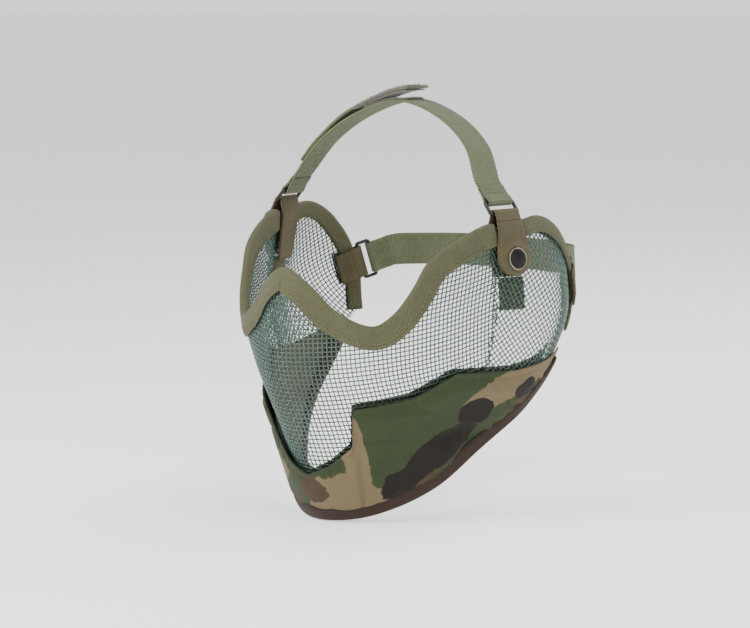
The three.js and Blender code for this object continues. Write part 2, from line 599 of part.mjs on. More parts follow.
function addStrap(name, path) {
  const climb = (t) => (TAIL[0] - RETURN_LAYER[0]) * smooth(t, CLIMB_START, CLIMB_END);
  const tailLift = (t) => TAIL_LIFT * t * t;
  const tapeEnd = TAIL_TIP + TAPE_FROM_TIP;
  const tapeFrom = TAIL_ROOT - TAPE_FROM_ROOT;
  add(`${name}_strap`, ribbon(path, 0, 1, STRAP_WIDTH, STRAP, 64), MATERIAL.strap);
  const back = ribbon(path, RETURN_START, TAIL_ROOT + TAIL_SPLIT, STRAP_WIDTH, RETURN_LAYER, 24, climb);
  add(`${name}_strap_return`, back, MATERIAL.strap);
  add(`${name}_loop_tape`, ribbon(path, tapeFrom, tapeEnd, TAPE_WIDTH, LOOP_TAPE, 12), MATERIAL.tape);
  add(`${name}_tail`, ribbon(path, TAIL_ROOT, TAIL_TIP, STRAP_WIDTH, TAIL, 14, tailLift), MATERIAL.tape);
  add(`${name}_hook_tape`, ribbon(path, tapeFrom, tapeEnd, TAPE_WIDTH, HOOK_TAPE, 12, (t) => (
    tailLift((tapeFrom - (tapeFrom - tapeEnd) * t - TAIL_ROOT) / (TAIL_TIP - TAIL_ROOT)))), MATERIAL.tape);
}
addStrap('head', headPath);
addStrap('rear', rearPath);

// ---------------------------------------------------------------- pivots of the moving pieces
const pivot = (point, axis) => ({ point: point.toArray(), axis: axis.clone().normalize().toArray() });
const peelAxis = (path) => path(TAIL_ROOT, 1, 0).sub(path(TAIL_ROOT, -1, 0));
group.userData.pivots = {
  head_ring: pivot(headFrame.origin, headFrame.across),
  rear_ring: pivot(rearFrame.origin, rearFrame.across),
  tab_flap: pivot(underTab(0, flapTop - GAP / 2, FLAP_OFFSET + CLOTH), tabAlong),
  head_tail: pivot(headPath(TAIL_ROOT, 0, TAIL[1]), peelAxis(headPath)),
  rear_tail: pivot(rearPath(TAIL_ROOT, 0, TAIL[1]), peelAxis(rearPath)),
};

export default group;
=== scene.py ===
"""Looks of the camouflage half-face mask. Lengths are in millimetres until a mesh is made in metres."""

import math

import bmesh
import bpy
import numpy as np
from mathutils import Matrix, Vector


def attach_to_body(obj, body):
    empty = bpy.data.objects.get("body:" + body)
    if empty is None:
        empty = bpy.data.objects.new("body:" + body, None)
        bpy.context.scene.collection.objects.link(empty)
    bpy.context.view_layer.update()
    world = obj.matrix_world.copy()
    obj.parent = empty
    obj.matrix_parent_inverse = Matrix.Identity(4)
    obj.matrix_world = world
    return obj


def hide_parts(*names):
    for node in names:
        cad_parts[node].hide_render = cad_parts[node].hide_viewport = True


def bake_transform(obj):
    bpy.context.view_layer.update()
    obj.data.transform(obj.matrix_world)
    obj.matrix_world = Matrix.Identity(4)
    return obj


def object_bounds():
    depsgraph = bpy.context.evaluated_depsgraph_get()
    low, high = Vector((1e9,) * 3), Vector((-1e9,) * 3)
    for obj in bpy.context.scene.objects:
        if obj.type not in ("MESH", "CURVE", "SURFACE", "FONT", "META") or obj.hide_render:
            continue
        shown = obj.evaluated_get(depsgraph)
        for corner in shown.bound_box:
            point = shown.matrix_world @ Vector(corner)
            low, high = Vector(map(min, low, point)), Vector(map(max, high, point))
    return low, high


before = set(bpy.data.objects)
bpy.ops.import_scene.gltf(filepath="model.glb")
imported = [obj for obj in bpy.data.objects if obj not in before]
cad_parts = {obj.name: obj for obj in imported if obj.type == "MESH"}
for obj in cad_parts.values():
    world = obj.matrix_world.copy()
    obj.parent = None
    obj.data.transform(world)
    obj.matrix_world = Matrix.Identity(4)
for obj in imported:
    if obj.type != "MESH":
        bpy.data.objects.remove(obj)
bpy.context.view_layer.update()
rng = np.random.default_rng(7)
MM = 0.001

# ---------------------------------------------------------------- the form, as in the CAD source
HALF_WIDTH, REACH, REAR_REACH, ROUNDING = 87.0, 122.0, 110.0, 0.13
STATIONS = np.array([
    (-118, 0.745, 0.64, 1.4), (-93, 0.79, 0.74, 1.37), (-67, 0.82, 0.84, 1.41), (-50, 0.855, 0.9, 1.49),
    (-28, 0.912, 0.95, 1.68), (0, 0.957, 0.925, 2.12), (30, 0.95, 0.9, 2.2), (62, 0.92, 0.905, 2.2)])
TOP_EDGE = np.array([
    (-7, 22), (0, 30), (7, 22), (15, 7), (26, -2), (33, 5), (39.5, 20), (44, 33), (52, 42), (63, 50),
    (71, 53), (86, 53.5), (96, 55), (105, 51), (113, 42), (120, 27), (124, 6)])
BOTTOM_EDGE = np.array([
    (-20, -113), (0, -116), (20, -113), (49, -98), (71, -77), (100, -50), (116, -29), (124, -15)])
COVER_TOP = np.array([
    (0, -88), (8, -82), (16, -71), (18, -48), (38, -42), (55, -29), (84, -30), (110, -24), (116, -20)])
REAR_ANGLE, COVER_ANGLE, FACE_MESH_ANGLE, EAR_MESH_ANGLE = 124, 114, 72, 68
MESH_UNDER_COVER, HEM_INSET = 12, 2
NOSE_RISE, NOSE_HALF_WIDTH, NOSE_HEIGHT, NOSE_REACH = 9.5, 17, 5, 24
DOME_RISE, DOME_BACK, DOME_HEIGHT, DOME_LENGTH, DOME_TALL = 13, 14, 5, 22, 30


def smooth_rows(rows, x, column):
    """A smooth curve through the rows, read at every x."""
    at, values = rows[:, 0], rows[:, column]
    slopes = np.empty(len(at))
    slopes[1:-1] = (values[2:] - values[:-2]) / (at[2:] - at[:-2])
    slopes[0] = (values[1] - values[0]) / (at[1] - at[0])
    slopes[-1] = (values[-1] - values[-2]) / (at[-1] - at[-2])
    x = np.clip(x, at[0], at[-1])
    k = np.clip(np.searchsorted(at, x) - 1, 0, len(at) - 2)
    w = at[k + 1] - at[k]
    t = (x - at[k]) / w
    return ((2 * t**3 - 3 * t**2 + 1) * values[k] + (t**3 - 2 * t**2 + t) * w * slopes[k]
            + (3 * t**2 - 2 * t**3) * values[k + 1] + (t**3 - t**2) * w * slopes[k + 1])


def top_edge(angle):
    return smooth_rows(TOP_EDGE, np.abs(angle), 1)


def bottom_edge(angle):
    return smooth_rows(BOTTOM_EDGE, np.abs(angle), 1) + HEM_INSET


def cover_top(angle):
    return np.interp(np.abs(angle), COVER_TOP[:, 0], COVER_TOP[:, 1])


def bell(d, s):
    return np.exp(-d * d / (2 * s * s))


def form(angle, z):
    """Points of the form for angles in degrees from the nose and heights."""
    angle, z = np.broadcast_arrays(np.asarray(angle, float), np.asarray(z, float))
    t = np.radians(angle)
    sin, cos = np.sin(t), np.cos(t)
    width = smooth_rows(STATIONS, z, 1) * HALF_WIDTH
    front = smooth_rows(STATIONS, z, 2) * REACH
    power = smooth_rows(STATIONS, z, 3)
    depth = np.where(cos >= 0, front, REAR_REACH)

    def share(v):
        soft = ROUNDING**power
        return ((v * v + ROUNDING**2) ** (power / 2) - soft) / ((1 + ROUNDING**2) ** (power / 2) - soft)
    radius = (share(sin) / width**power + share(cos) / depth**power) ** (-1 / power)
    x, y = radius * sin, -radius * cos
    bump = NOSE_RISE * np.exp(-((x / NOSE_HALF_WIDTH) ** 2)) * bell(z - NOSE_HEIGHT, NOSE_REACH)
    nose = np.where(cos > 0, bump, 0)
    dome = DOME_RISE * bell(y - DOME_BACK, DOME_LENGTH) * bell(z - DOME_HEIGHT, DOME_TALL)
    return np.stack([x + np.sign(sin) * dome, y - nose, z], -1)


def smooth_step(x, a, b):
    t = np.clip((np.asarray(x, float) - a) / (b - a), 0, 1)
    return t * t * (3 - 2 * t)


def unit(v):
    return v / np.maximum(np.linalg.norm(v, axis=-1, keepdims=True), 1e-12)


def form_frame(angle, z):
    step = 0.25
    around = (form(angle + step, z) - form(angle - step, z)) / (2 * step)
    rise = (form(angle, z + step) - form(angle, z - step)) / (2 * step)
    return form(angle, z), unit(np.cross(around, rise)), around, rise


def over_form(angle, z, offset):
    point, normal, _, _ = form_frame(angle, z)
    return point + normal * np.asarray(offset)[..., None]


# ---------------------------------------------------------------- mesh makers
def lengths_along(points):
    """The length run from the first point to each point of a line."""
    return np.concatenate([[0], np.cumsum(np.linalg.norm(np.diff(points, axis=0), axis=1))])


def grid_quads(index):
    """The quads of a grid of vertex numbers."""
    return np.stack([index[:-1, :-1], index[1:, :-1], index[1:, 1:], index[:-1, 1:]], -1).reshape(-1, 4)


def make(name, verts, faces, material, uv=None, smooth=True):
    """An object from points in millimetres; uv is one pair of lengths for each vertex."""
    mesh = bpy.data.meshes.new(name)
    mesh.from_pydata((np.asarray(verts) * MM).tolist(), [], [tuple(f) for f in np.asarray(faces, object)]
                     if isinstance(faces, list) else faces.tolist())
    obj = bpy.data.objects.new(name, mesh)
    bpy.context.collection.objects.link(obj)
    if uv is not None:
        layer = mesh.uv_layers.new(name="UVMap")
        loops = np.empty(len(mesh.loops), int)
        mesh.loops.foreach_get("vertex_index", loops)
        layer.data.foreach_set("uv", np.asarray(uv, np.float32)[loops].ravel())
    bm = bmesh.new()
    bm.from_mesh(mesh)
    bmesh.ops.recalc_face_normals(bm, faces=bm.faces)
    bm.to_mesh(mesh)
    bm.free()
    mesh.polygons.foreach_set("use_smooth", [smooth] * len(mesh.polygons))
    mesh.materials.append(material)
    return obj


def ring_faces(rows, sides, start=0):
    """Quads between successive rings of vertices."""
    i = np.arange(rows - 1)[:, None] * sides + start
    j = np.arange(sides)[None, :]
    k = (j + 1) % sides
    return np.stack([i + j, i + k, i + sides + k, i + sides + j], -1).reshape(-1, 4)


def sweep(name, place, along, section, material):
    """Carries a closed section of (across, height) along a route; it is an array or a function of length."""
    rings, spans = [], []
    for s in along:
        ring = section(s) if callable(section) else section
        rings.append(place(np.full(len(ring), s), ring[:, 0], ring[:, 1]))
        spans.append(lengths_along(ring))
    rings = np.array(rings)
    rows, sides = rings.shape[:2]
    middles = rings.mean(axis=1)
    length = lengths_along(middles)
    uv = np.stack([np.repeat(length, sides), np.array(spans).ravel()], -1)
    faces = ring_faces(rows, sides).tolist()
    faces.append(list(range(sides))[::-1])
    faces.append(list(range((rows - 1) * sides, rows * sides)))
    verts = rings.reshape(-1, 3)
    return make(name, verts, faces, material, uv)


def flat_section(width, thickness, across=10, corner=0.45):
    """A strap's section: flat faces, rounded edges and slightly thicker selvedges."""
    half, t = width / 2, thickness / 2
    x = np.linspace(-(half - corner), half - corner, across)
    swell = 0.08 * thickness * np.abs(x / half) ** 6
    turn = np.radians([60, 30, 0, -30, -60])
    edge = np.stack([half - corner + corner * np.cos(turn), t * np.sin(turn)], -1)
    top = np.stack([x, t + swell], -1)
    return np.concatenate([top, edge, top[::-1] * [1, -1], edge[::-1] * [-1, 1] * [1, 1]])


def ribbon_section(line, thickness, end=0.5):
    """The closed outline of a ribbon of even thickness along a line of points."""
    line = np.asarray(line, float)
    run = unit(np.gradient(line, axis=0))
    side = np.stack([-run[:, 1], run[:, 0]], -1) * thickness / 2
    tips = [line[-1] + run[-1] * thickness * end * 0.5, line[0] - run[0] * thickness * end * 0.5]
    return np.concatenate([line + side, [tips[0]], (line - side)[::-1], [tips[1]]])


def round_line(points, radius, count=5):
    """Rounds the inner corners of a line of points."""
    points = np.asarray(points, float)
    out = [points[0]]
    for a, b, c in zip(points[:-2], points[1:-1], points[2:]):
        start = b + unit(a - b) * min(radius, np.linalg.norm(a - b) / 2)
        stop = b + unit(c - b) * min(radius, np.linalg.norm(c - b) / 2)
        t = np.linspace(0, 1, count)[:, None]
        out.extend((1 - t) ** 2 * start + 2 * t * (1 - t) * b + t**2 * stop)
    out.append(points[-1])
    return np.array(out)


def tubes(name, runs, radius, sides, material, close=False):
    """Round wires or threads: each run is (points, normals)."""
    verts, faces, uv, base = [], [], [], 0
    turn = np.linspace(0, 2 * math.pi, sides, endpoint=False)
    for points, normals, *size in runs:
        r = size[0] if size else np.full(len(points), radius)
        along = unit(np.gradient(points, axis=0))
        if close:
            along = unit(np.roll(points, -1, 0) - np.roll(points, 1, 0))
        side = unit(np.cross(along, normals))
        up = np.cross(side, along)
        ring = (points[:, None] + r[:, None, None] * (np.cos(turn)[None, :, None] * up[:, None]
                + np.sin(turn)[None, :, None] * side[:, None]))
        rows = len(points)
        verts.append(ring.reshape(-1, 3))
        length = lengths_along(points)
        uv.append(np.stack([np.repeat(length, sides), np.tile(turn, rows)], -1))
        quads = ring_faces(rows, sides, base)
        faces.extend(quads.tolist())
        if close:
            first = base + np.arange(sides)
            last = base + (rows - 1) * sides + np.arange(sides)
            faces.extend(np.stack([last, np.roll(last, -1), np.roll(first, -1), first], -1).tolist())
        else:
            faces.append(list(range(base, base + sides))[::-1])
            faces.append(list(range(base + (rows - 1) * sides, base + rows * sides)))
        base += rows * sides
    return make(name, np.concatenate(verts), faces, material, np.concatenate(uv))


def stitch_runs(line, lift, pitch=3.0, length=2.2, radius=0.28):
    """Sewing thread along line(share) -> (points, normals): one short arched run for each stitch."""
    share = np.linspace(0, 1, 400)
    points, _ = line(share)
    reach = lengths_along(points)
    runs = []
    for start in np.arange(pitch / 2, reach[-1] - length, pitch):
        at = np.interp(start + length * np.array([0, 0.12, 0.5, 0.88, 1]), reach, share)
        p, n = line(at)
        p = p + n * (lift + radius * np.array([-1.0, 0.0, 0.35, 0.0, -1.0]))[:, None]
        runs.append((p, n, radius * np.array([0.6, 1, 1.1, 1, 0.6])))
    return runs


# ---------------------------------------------------------------- materials
def rgb(r, g, b):
    """Linear colour from 0-255 values."""
    return tuple(((c / 255 + 0.055) / 1.055) ** 2.4 if c > 10 else c / 255 / 12.92 for c in (r, g, b)) + (1,)


class Nodes:
    """Short names for building a material's nodes."""

    def __init__(self, name):
        self.material = bpy.data.materials.new(name)
        self.material.use_nodes = True
        self.tree = self.material.node_tree
        self.shader = self.tree.nodes["Principled BSDF"]

    def feed(self, socket, value):
        """Links a socket to another node's output, or sets its value."""
        if isinstance(value, bpy.types.NodeSocket):
            self.tree.links.new(value, socket)
        else:
            socket.default_value = value

    def add(self, kind, **inputs):
        node = self.tree.nodes.new(kind)
        for key, value in inputs.items():
            if key.startswith("_"):
                setattr(node, key[1:], value)
                continue
            numbered = key[0] == "i" and key[1:].isdigit()
            self.feed(node.inputs[int(key[1:]) if numbered else key.replace("_", " ")], value)
        return node

    def math(self, operation, *values):
        node = self.add("ShaderNodeMath", _operation=operation, **{f"i{i}": v for i, v in enumerate(values)})
        return node.outputs[0]

    def mix(self, factor, a, b, blend="MIX"):
        node = self.add("ShaderNodeMix", _data_type="RGBA", _blend_type=blend)
        for index, value in ((0, factor), (6, a), (7, b)):
            self.feed(node.inputs[index], value)
        return node.outputs[2]

    def noise(self, scale, detail=3.0, rough=0.5, vector=None, distortion=0.0):
        keys = {"Scale": scale, "Detail": detail, "Roughness": rough, "Distortion": distortion}
        if vector is not None:
            keys["Vector"] = vector
        return self.add("ShaderNodeTexNoise", **keys).outputs[0]

    def object_space(self):
        return self.add("ShaderNodeTexCoord").outputs["Object"]

    def lengths(self):
        """Lengths along and across the piece, in millimetres."""
        return self.add("ShaderNodeSeparateXYZ", Vector=self.add("ShaderNodeTexCoord").outputs["UV"])

    def wave(self, value, pitch, phase=0.0):
        """A sine of a length, from 0 to 1."""
        turn = self.math("MULTIPLY_ADD", value, 2 * math.pi / pitch, phase)
        return self.math("MULTIPLY_ADD", self.math("SINE", turn), 0.5, 0.5)

    def put(self, socket, value):
        self.feed(self.shader.inputs[socket], value)

    def bump(self, height, distance, strength=1.0):
        node = self.add("ShaderNodeBump", Height=height, Distance=distance, Strength=strength)
        self.put("Normal", node.outputs[0])


def woven(name, light, dark, pitch=0.9, slant=1.0, depth=0.00018, wear=0.4, sheen=0.06, blotch=22.0):
    """Twill or ribbed tape: slant 1 gives twill, 0 gives cross ribs, a big one gives lengthwise ribs."""
    n = Nodes(name)
    uv = n.lengths()
    twill = n.wave(n.math("MULTIPLY_ADD", uv.outputs[1], slant, uv.outputs[0]), pitch)
    cross = n.wave(uv.outputs[1], pitch * 0.8)
    weave = n.math("MULTIPLY_ADD", cross, 0.35, n.math("MULTIPLY", twill, 0.65))
    space = n.object_space()
    soil = n.noise(blotch * 4, 5, 0.6, space)
    fluff = n.noise(2600, 2, 0.6, space)
    tone = n.math("MULTIPLY_ADD", weave, 0.5, n.math("MULTIPLY", fluff, 0.5))
    color = n.mix(tone, dark, light)
    worn = n.mix(n.math("MULTIPLY", soil, wear), color, tuple(0.45 * c for c in dark[:3]) + (1,))
    n.put("Base Color", worn)
    n.put("Roughness", 0.88)
    n.put("Sheen Weight", sheen)
    n.put("Sheen Roughness", 0.5)
    n.put("Specular IOR Level", 0.25)
    n.bump(n.math("MULTIPLY_ADD", fluff, 0.35, weave), depth)
    return n.material


def painted_wire():
    n = Nodes("painted_wire_mesh")
    space = n.object_space()
    patch = n.noise(35, 4, 0.6, space)
    grain = n.noise(900, 3, 0.6, space)
    color = n.mix(patch, rgb(40, 62, 55), rgb(88, 114, 102))
    color = n.mix(n.math("MULTIPLY", grain, 0.5), color, rgb(48, 62, 56))
    n.put("Base Color", color)
    n.put("Metallic", 0.35)
    n.put("Roughness", n.math("MULTIPLY_ADD", grain, 0.25, 0.28))
    n.put("Coat Weight", 0.25)
    n.bump(grain, 0.00006)
    return n.material


def camo_cloth():
    """Four colours: three painted fields of the cloth, their edges roughened by noise."""
    n = Nodes("camo_fabric")
    space = n.object_space()
    ragged = n.noise(90, 4, 0.55, space, 0.6)
    wander = n.math("MULTIPLY_ADD", ragged, 0.9, -0.45)

    def field(name):
        value = n.add("ShaderNodeAttribute", _attribute_name=name).outputs["Fac"]
        lifted = n.math("ADD", value, wander)
        return n.add("ShaderNodeMapRange", Value=lifted, From_Min=-0.03, From_Max=0.03).outputs[0]
    color = n.mix(n.noise(60, 3, 0.5, space), rgb(50, 62, 38), rgb(64, 75, 46))
    color = n.mix(field("tan_patch"), color, rgb(128, 112, 83))
    color = n.mix(field("brown_patch"), color, rgb(78, 60, 45))
    color = n.mix(field("black_patch"), color, rgb(28, 24, 22))
    uv = n.lengths()
    twill = n.wave(n.math("ADD", uv.outputs[0], uv.outputs[1]), 0.85)
    cross = n.wave(n.math("SUBTRACT", uv.outputs[0], uv.outputs[1]), 0.7)
    weave = n.math("MULTIPLY_ADD", cross, 0.4, n.math("MULTIPLY", twill, 0.6))
    fluff = n.noise(2200, 2, 0.6, space)
    shade = n.math("MULTIPLY_ADD", weave, 0.3, n.math("MULTIPLY", fluff, 0.4))
    n.put("Base Color", n.mix(shade, color, rgb(30, 28, 22)))
    n.put("Roughness", 0.9)
    n.put("Sheen Weight", 0.05)
    n.put("Specular IOR Level", 0.2)
    n.bump(n.math("MULTIPLY_ADD", fluff, 0.4, weave), 0.00016)
    return n.material


def fuzzy(name, light, dark):
    n = Nodes(name)
    space = n.object_space()
    tuft = n.noise(700, 4, 0.7, space, 0.4)
    fine = n.noise(3000, 2, 0.6, space)
    n.put("Base Color", n.mix(n.math("MULTIPLY_ADD", fine, 0.4, n.math("MULTIPLY", tuft, 0.6)), dark, light))
    n.put("Roughness", 0.97)
    n.put("Sheen Weight", 0.5)
    n.put("Sheen Roughness", 0.6)
    n.put("Specular IOR Level", 0.15)
    n.bump(tuft, 0.0006)
    return n.material


def metal(name, light, dark, roughness, metallic=1.0, coat=0.0, gloss=0.5):
    n = Nodes(name)
    space = n.object_space()
    worn = n.noise(240, 4, 0.6, space)
    grain = n.noise(1800, 2, 0.5, space)
    n.put("Base Color", n.mix(worn, dark, light))
    n.put("Metallic", metallic)
    n.put("Roughness", n.math("MULTIPLY_ADD", worn, 0.25, roughness))
    n.put("Coat Weight", coat)
    n.put("Specular IOR Level", gloss)
    n.bump(grain, 0.00003)
    return n.material


MATERIALS = {
    "wire": painted_wire(),
    "binding": woven("olive_binding", rgb(116, 116, 84), rgb(52, 54, 36), 1.3, 1.0, 0.0004),
    "tab": woven("tab_webbing", rgb(116, 106, 74), rgb(54, 50, 34), 1.1, 0.8, 0.00036, 0.45),
    "strap": woven("elastic_strap", rgb(130, 134, 102), rgb(62, 68, 48), 1.3, 0.0, 0.00045, 0.4),
    "hem": woven("dark_hem", rgb(66, 48, 39), rgb(36, 26, 22), 1.0, 0.6, 0.0002),
    "lining": woven("jaw_lining", rgb(92, 88, 66), rgb(62, 58, 44), 0.8, 1.0, 0.00015),
    "camo": camo_cloth(),
    "tape": fuzzy("hook_loop_tape", rgb(92, 90, 66), rgb(44, 42, 32)),
    "foam": fuzzy("jaw_foam", rgb(60, 60, 58), rgb(34, 34, 33)),
    "thread": woven("olive_thread", rgb(128, 126, 92), rgb(84, 82, 58), 0.5, 0.5, 0.00006),
    "dark_thread": woven("dark_thread", rgb(74, 66, 50), rgb(44, 38, 30), 0.5, 0.5, 0.00006),
    "ring": metal("ring_wire", rgb(72, 72, 66), rgb(30, 30, 28), 0.3, 0.8),
    "steel": metal("snap_steel", rgb(176, 166, 144), rgb(96, 88, 74), 0.18),
    "cap": metal("snap_cap", rgb(16, 12, 10), rgb(6, 5, 4), 0.3, 0.0, 0.04, 0.2),
}
SIDES = (("left", 1), ("right", -1))


def mirror(points, sign):
    return points * np.array([sign, 1, 1])


def flipped(obj, sign):
    """Mirrors a piece to the right-hand side."""
    if sign < 0:
        obj.data.transform(Matrix.Scale(-1, 4, (1, 0, 0)))
        obj.data.flip_normals()
    return obj


# ---------------------------------------------------------------- woven wire
PITCH, WIRE = 2.6, 0.38
HEIGHTS = np.arange(-118.0, 63.0, 1.0)
TURNS = np.arange(0.0, 127.0, 1.0)
SURFACE = form(TURNS[None, :], HEIGHTS[:, None])
AROUND = np.concatenate([np.zeros((len(HEIGHTS), 1)),
                         np.cumsum(np.linalg.norm(np.diff(SURFACE, axis=1), axis=2), axis=1)], axis=1)
LENGTHS = np.arange(0.0, AROUND.max(), 1.0)
ANGLE_AT = np.array([np.interp(LENGTHS, row, TURNS, right=140) for row in AROUND])


def angle_of(length, z):
    """The form's angle at a signed length round it from the nose line."""
    row = np.clip(z - HEIGHTS[0], 0, len(HEIGHTS) - 1.001)
    column = np.clip(np.abs(length), 0, len(LENGTHS) - 1.001)
    i, j = row.astype(int), column.astype(int)
    a, b = row - i, column - j
    low = ANGLE_AT[i, j] * (1 - b) + ANGLE_AT[i, j + 1] * b
    high = ANGLE_AT[i + 1, j] * (1 - b) + ANGLE_AT[i + 1, j + 1] * b
    return np.sign(length) * (low * (1 - a) + high * a)


def wire_mesh(name, place, span_p, span_q, inside, middle):
    """Plain weave: wires along p and along q that pass over and under each other."""
    runs = []
    for warp in (True, False):
        fixed = np.arange(*(span_p if warp else span_q))
        free = np.arange(*(span_q if warp else span_p), 0.5)
        for i in fixed:
            p = np.full(len(free), i) if warp else free
            q = free if warp else np.full(len(free), i)
            length, z = place(p * PITCH, q * PITCH)
            angle = angle_of(length, z)
            keep = inside(angle, z)
            over = np.cos(math.pi * (p + q)) * (1 if warp else -1)
            on_cross = np.abs(free - np.round(free)) < 0.1
            height = middle + np.where(on_cross, over * WIRE * 1.02, 0)
            edges = np.flatnonzero(np.diff(np.concatenate([[0], keep.astype(int), [0]])))
            for start, stop in zip(edges[::2], edges[1::2]):
                if stop - start < 4:
                    continue
                part = slice(start, stop)
                point, normal, _, _ = form_frame(angle[part], z[part])
                runs.append((point + normal * height[part, None], normal))
    return tubes(name, runs, WIRE, 6, MATERIALS["wire"])


def between_edges(angle, z):
    """Where wire is laid: under the top tape and down to a seam's width below the cover's top."""
    return (z < top_edge(angle) - 0.6) & (z > cover_top(angle) - 7) & (z > bottom_edge(angle) + 1)


def in_face(angle, z):
    a = np.abs(angle)
    return (a < FACE_MESH_ANGLE - 0.5) & between_edges(a, z)


def in_ear(angle, z):
    round_it = (angle > EAR_MESH_ANGLE + 0.5) & (angle < REAR_ANGLE - 0.4)
    return round_it & between_edges(angle, z)


def face_grid(p, q):
    return p, q + 0.0011 * p * p


face_wire = wire_mesh("face_wire_mesh", face_grid, (-60, 61), (-42, 22), in_face, 0.0)
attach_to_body(face_wire, "mask")
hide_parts("face_mesh")

EAR_TURN = math.radians(32)
EAR_MIDDLE = 1.9
EAR_CENTRE = (float(np.interp(100, TURNS, AROUND[int(10 - HEIGHTS[0])])), 10.0)


def ear_grid(p, q):
    c, s = math.cos(EAR_TURN), math.sin(EAR_TURN)
    return EAR_CENTRE[0] + p * c - q * s, EAR_CENTRE[1] + p * s + q * c


for side, sign in SIDES:
    ear_wire = wire_mesh(f"ear_wire_mesh_{side}", ear_grid, (-26, 27), (-26, 27), in_ear, EAR_MIDDLE)
    flipped(ear_wire, sign)
    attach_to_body(ear_wire, "mask")
    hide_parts(f"ear_mesh_{side}")


# ---------------------------------------------------------------- layers and bindings, as in the CAD source
GAP, SOFT_GAP, EDGE_GAP, CLOTH, BINDING, WEB = 0.3, 0.5, 0.8, 1.2, 1.2, 1.2
FACE_MESH = (-0.8, 0.8)
EAR_MESH = (1.1, 2.7)
COVER = (3.0, 4.2)
FOAM = (-2.0, COVER[0] - SOFT_GAP)
LINING = (FOAM[0] - SOFT_GAP - CLOTH, FOAM[0] - SOFT_GAP)


def edge_route(angles, heights):
    """A route along an edge of the form, read at shares of its length: (angle, height)."""
    points = form(angles, heights)
    reach = lengths_along(points)
    share = reach / reach[-1]
    return (lambda s: (np.interp(s, share, angles), np.interp(s, share, heights))), reach[-1]


def edge_place(route, inward_sign, ripple=0.0, climb=lambda angle: 0.0):
    """Maps (share, inward, height over the form) to points beside an edge."""
    def place(s, inward, height):
        angle, z = route(s)
        angle_a, z_a = route(np.maximum(s - 0.006, 0))
        angle_b, z_b = route(np.minimum(s + 0.006, 1))
        _, _, around, rise = form_frame(angle, z)
        wide, tall = np.linalg.norm(around, axis=-1), np.linalg.norm(rise, axis=-1)
        run = unit(np.stack([(angle_b - angle_a) * wide, (z_b - z_a) * tall], -1))
        pucker = ripple * np.sin(s * 190 + inward * 0.3) * np.clip(inward / 8, 0, 1)
        step = np.stack([-run[:, 1], run[:, 0]], -1) * (inward_sign * inward)[:, None]
        lift = np.sign(height) * pucker + climb(angle) * np.clip(height / 2.4 + 0.5, 0, 1)
        return over_form(angle + step[:, 0] / wide, z + step[:, 1] / tall, height + lift)
    return place


def binding(name, angles, heights, inward_sign, width, layers, material, thread, nodes,
            rows=2, ripple=0.1, climb=lambda angle: 0.0):
    """Tape folded over an edge, with its rows of stitching on both faces."""
    inner, outer = layers
    back = -EDGE_GAP - BINDING / 2
    route, length = edge_route(angles, heights)
    line = round_line([(width, inner * 0.95), (width * 0.6, inner), (back, inner),
                       (back, outer), (width * 0.6, outer), (width, outer * 0.95)], 1.6, 6)
    fine = np.concatenate([np.linspace(a, b, max(int(np.linalg.norm(b - a) / 1.2), 1), endpoint=False)
                           for a, b in zip(line[:-1], line[1:])] + [line[-1:]])
    place = edge_place(route, inward_sign, ripple, climb)
    tape = sweep(name, place, np.linspace(0, 1, int(length / 1.6)), ribbon_section(fine, BINDING),
                 MATERIALS[material])
    runs = []
    for row in range(rows):
        inward = width - 1.8 - row * 1.7
        for height in (outer + BINDING / 2, inner - BINDING / 2):
            def seam(share, inward=inward, height=height):
                at = 0.004 + share * 0.992
                full = np.full(len(at), 1.0)
                point = place(at, full * inward, full * height)
                beyond = place(at, full * inward, full * (height + np.sign(height - (inner + outer) / 2)))
                return point, unit(beyond - point)
            runs += stitch_runs(seam, 0.05, radius=0.24)
    sewing = tubes(f"{name}_stitching", runs, 0.24, 5, MATERIALS[thread])
    for piece in (tape, sewing):
        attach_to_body(piece, "mask")
    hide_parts(*nodes)
    return tape, sewing


OVER_MESH = FACE_MESH[1] + SOFT_GAP + BINDING / 2
eye_angles = np.linspace(-70, 70, 440)
binding("eye_edge_tape", eye_angles, top_edge(eye_angles), -1, 11, (-OVER_MESH, OVER_MESH),
        "binding", "thread", ["eye_edge_binding"],
        climb=lambda angle: (EAR_MESH[1] - FACE_MESH[1]) * smooth_step(np.abs(angle), 62, 66))
ear_low, ear_high = EAR_MESH[0] - GAP - BINDING / 2, EAR_MESH[1] + GAP + BINDING / 2
ear_angles = np.concatenate([np.linspace(85.8, 124, 120), np.full(30, 124.0)])
ear_heights = np.concatenate([top_edge(ear_angles[:120]), np.linspace(6, -13, 31)[1:]])
for side, sign in SIDES:
    binding(f"ear_edge_tape_{side}", sign * ear_angles, ear_heights, -sign, 8, (ear_low, ear_high),
            "binding", "thread", [f"ear_edge_binding_{side}"])
hem_angles = np.linspace(-COVER_ANGLE, COVER_ANGLE, 400)
HEM = (LINING[0] - SOFT_GAP - BINDING / 2, COVER[1] + SOFT_GAP + BINDING / 2)
binding("jaw_edge_tape", hem_angles, bottom_edge(hem_angles), 1, 7, HEM,
        "hem", "dark_thread", ["jaw_edge_binding"], rows=1)


# ---------------------------------------------------------------- padded jaw
def jaw_points(columns, rows):
    """A grid over the cloth jaw: angles and heights."""
    angle = np.linspace(-COVER_ANGLE, COVER_ANGLE, columns)[:, None]
    low = bottom_edge(angle)
    high = np.maximum(cover_top(angle), low + 4)
    share = np.linspace(0, 1, rows)[None, :]
    z = low + share * (high - low)
    return np.broadcast_to(angle, z.shape), z


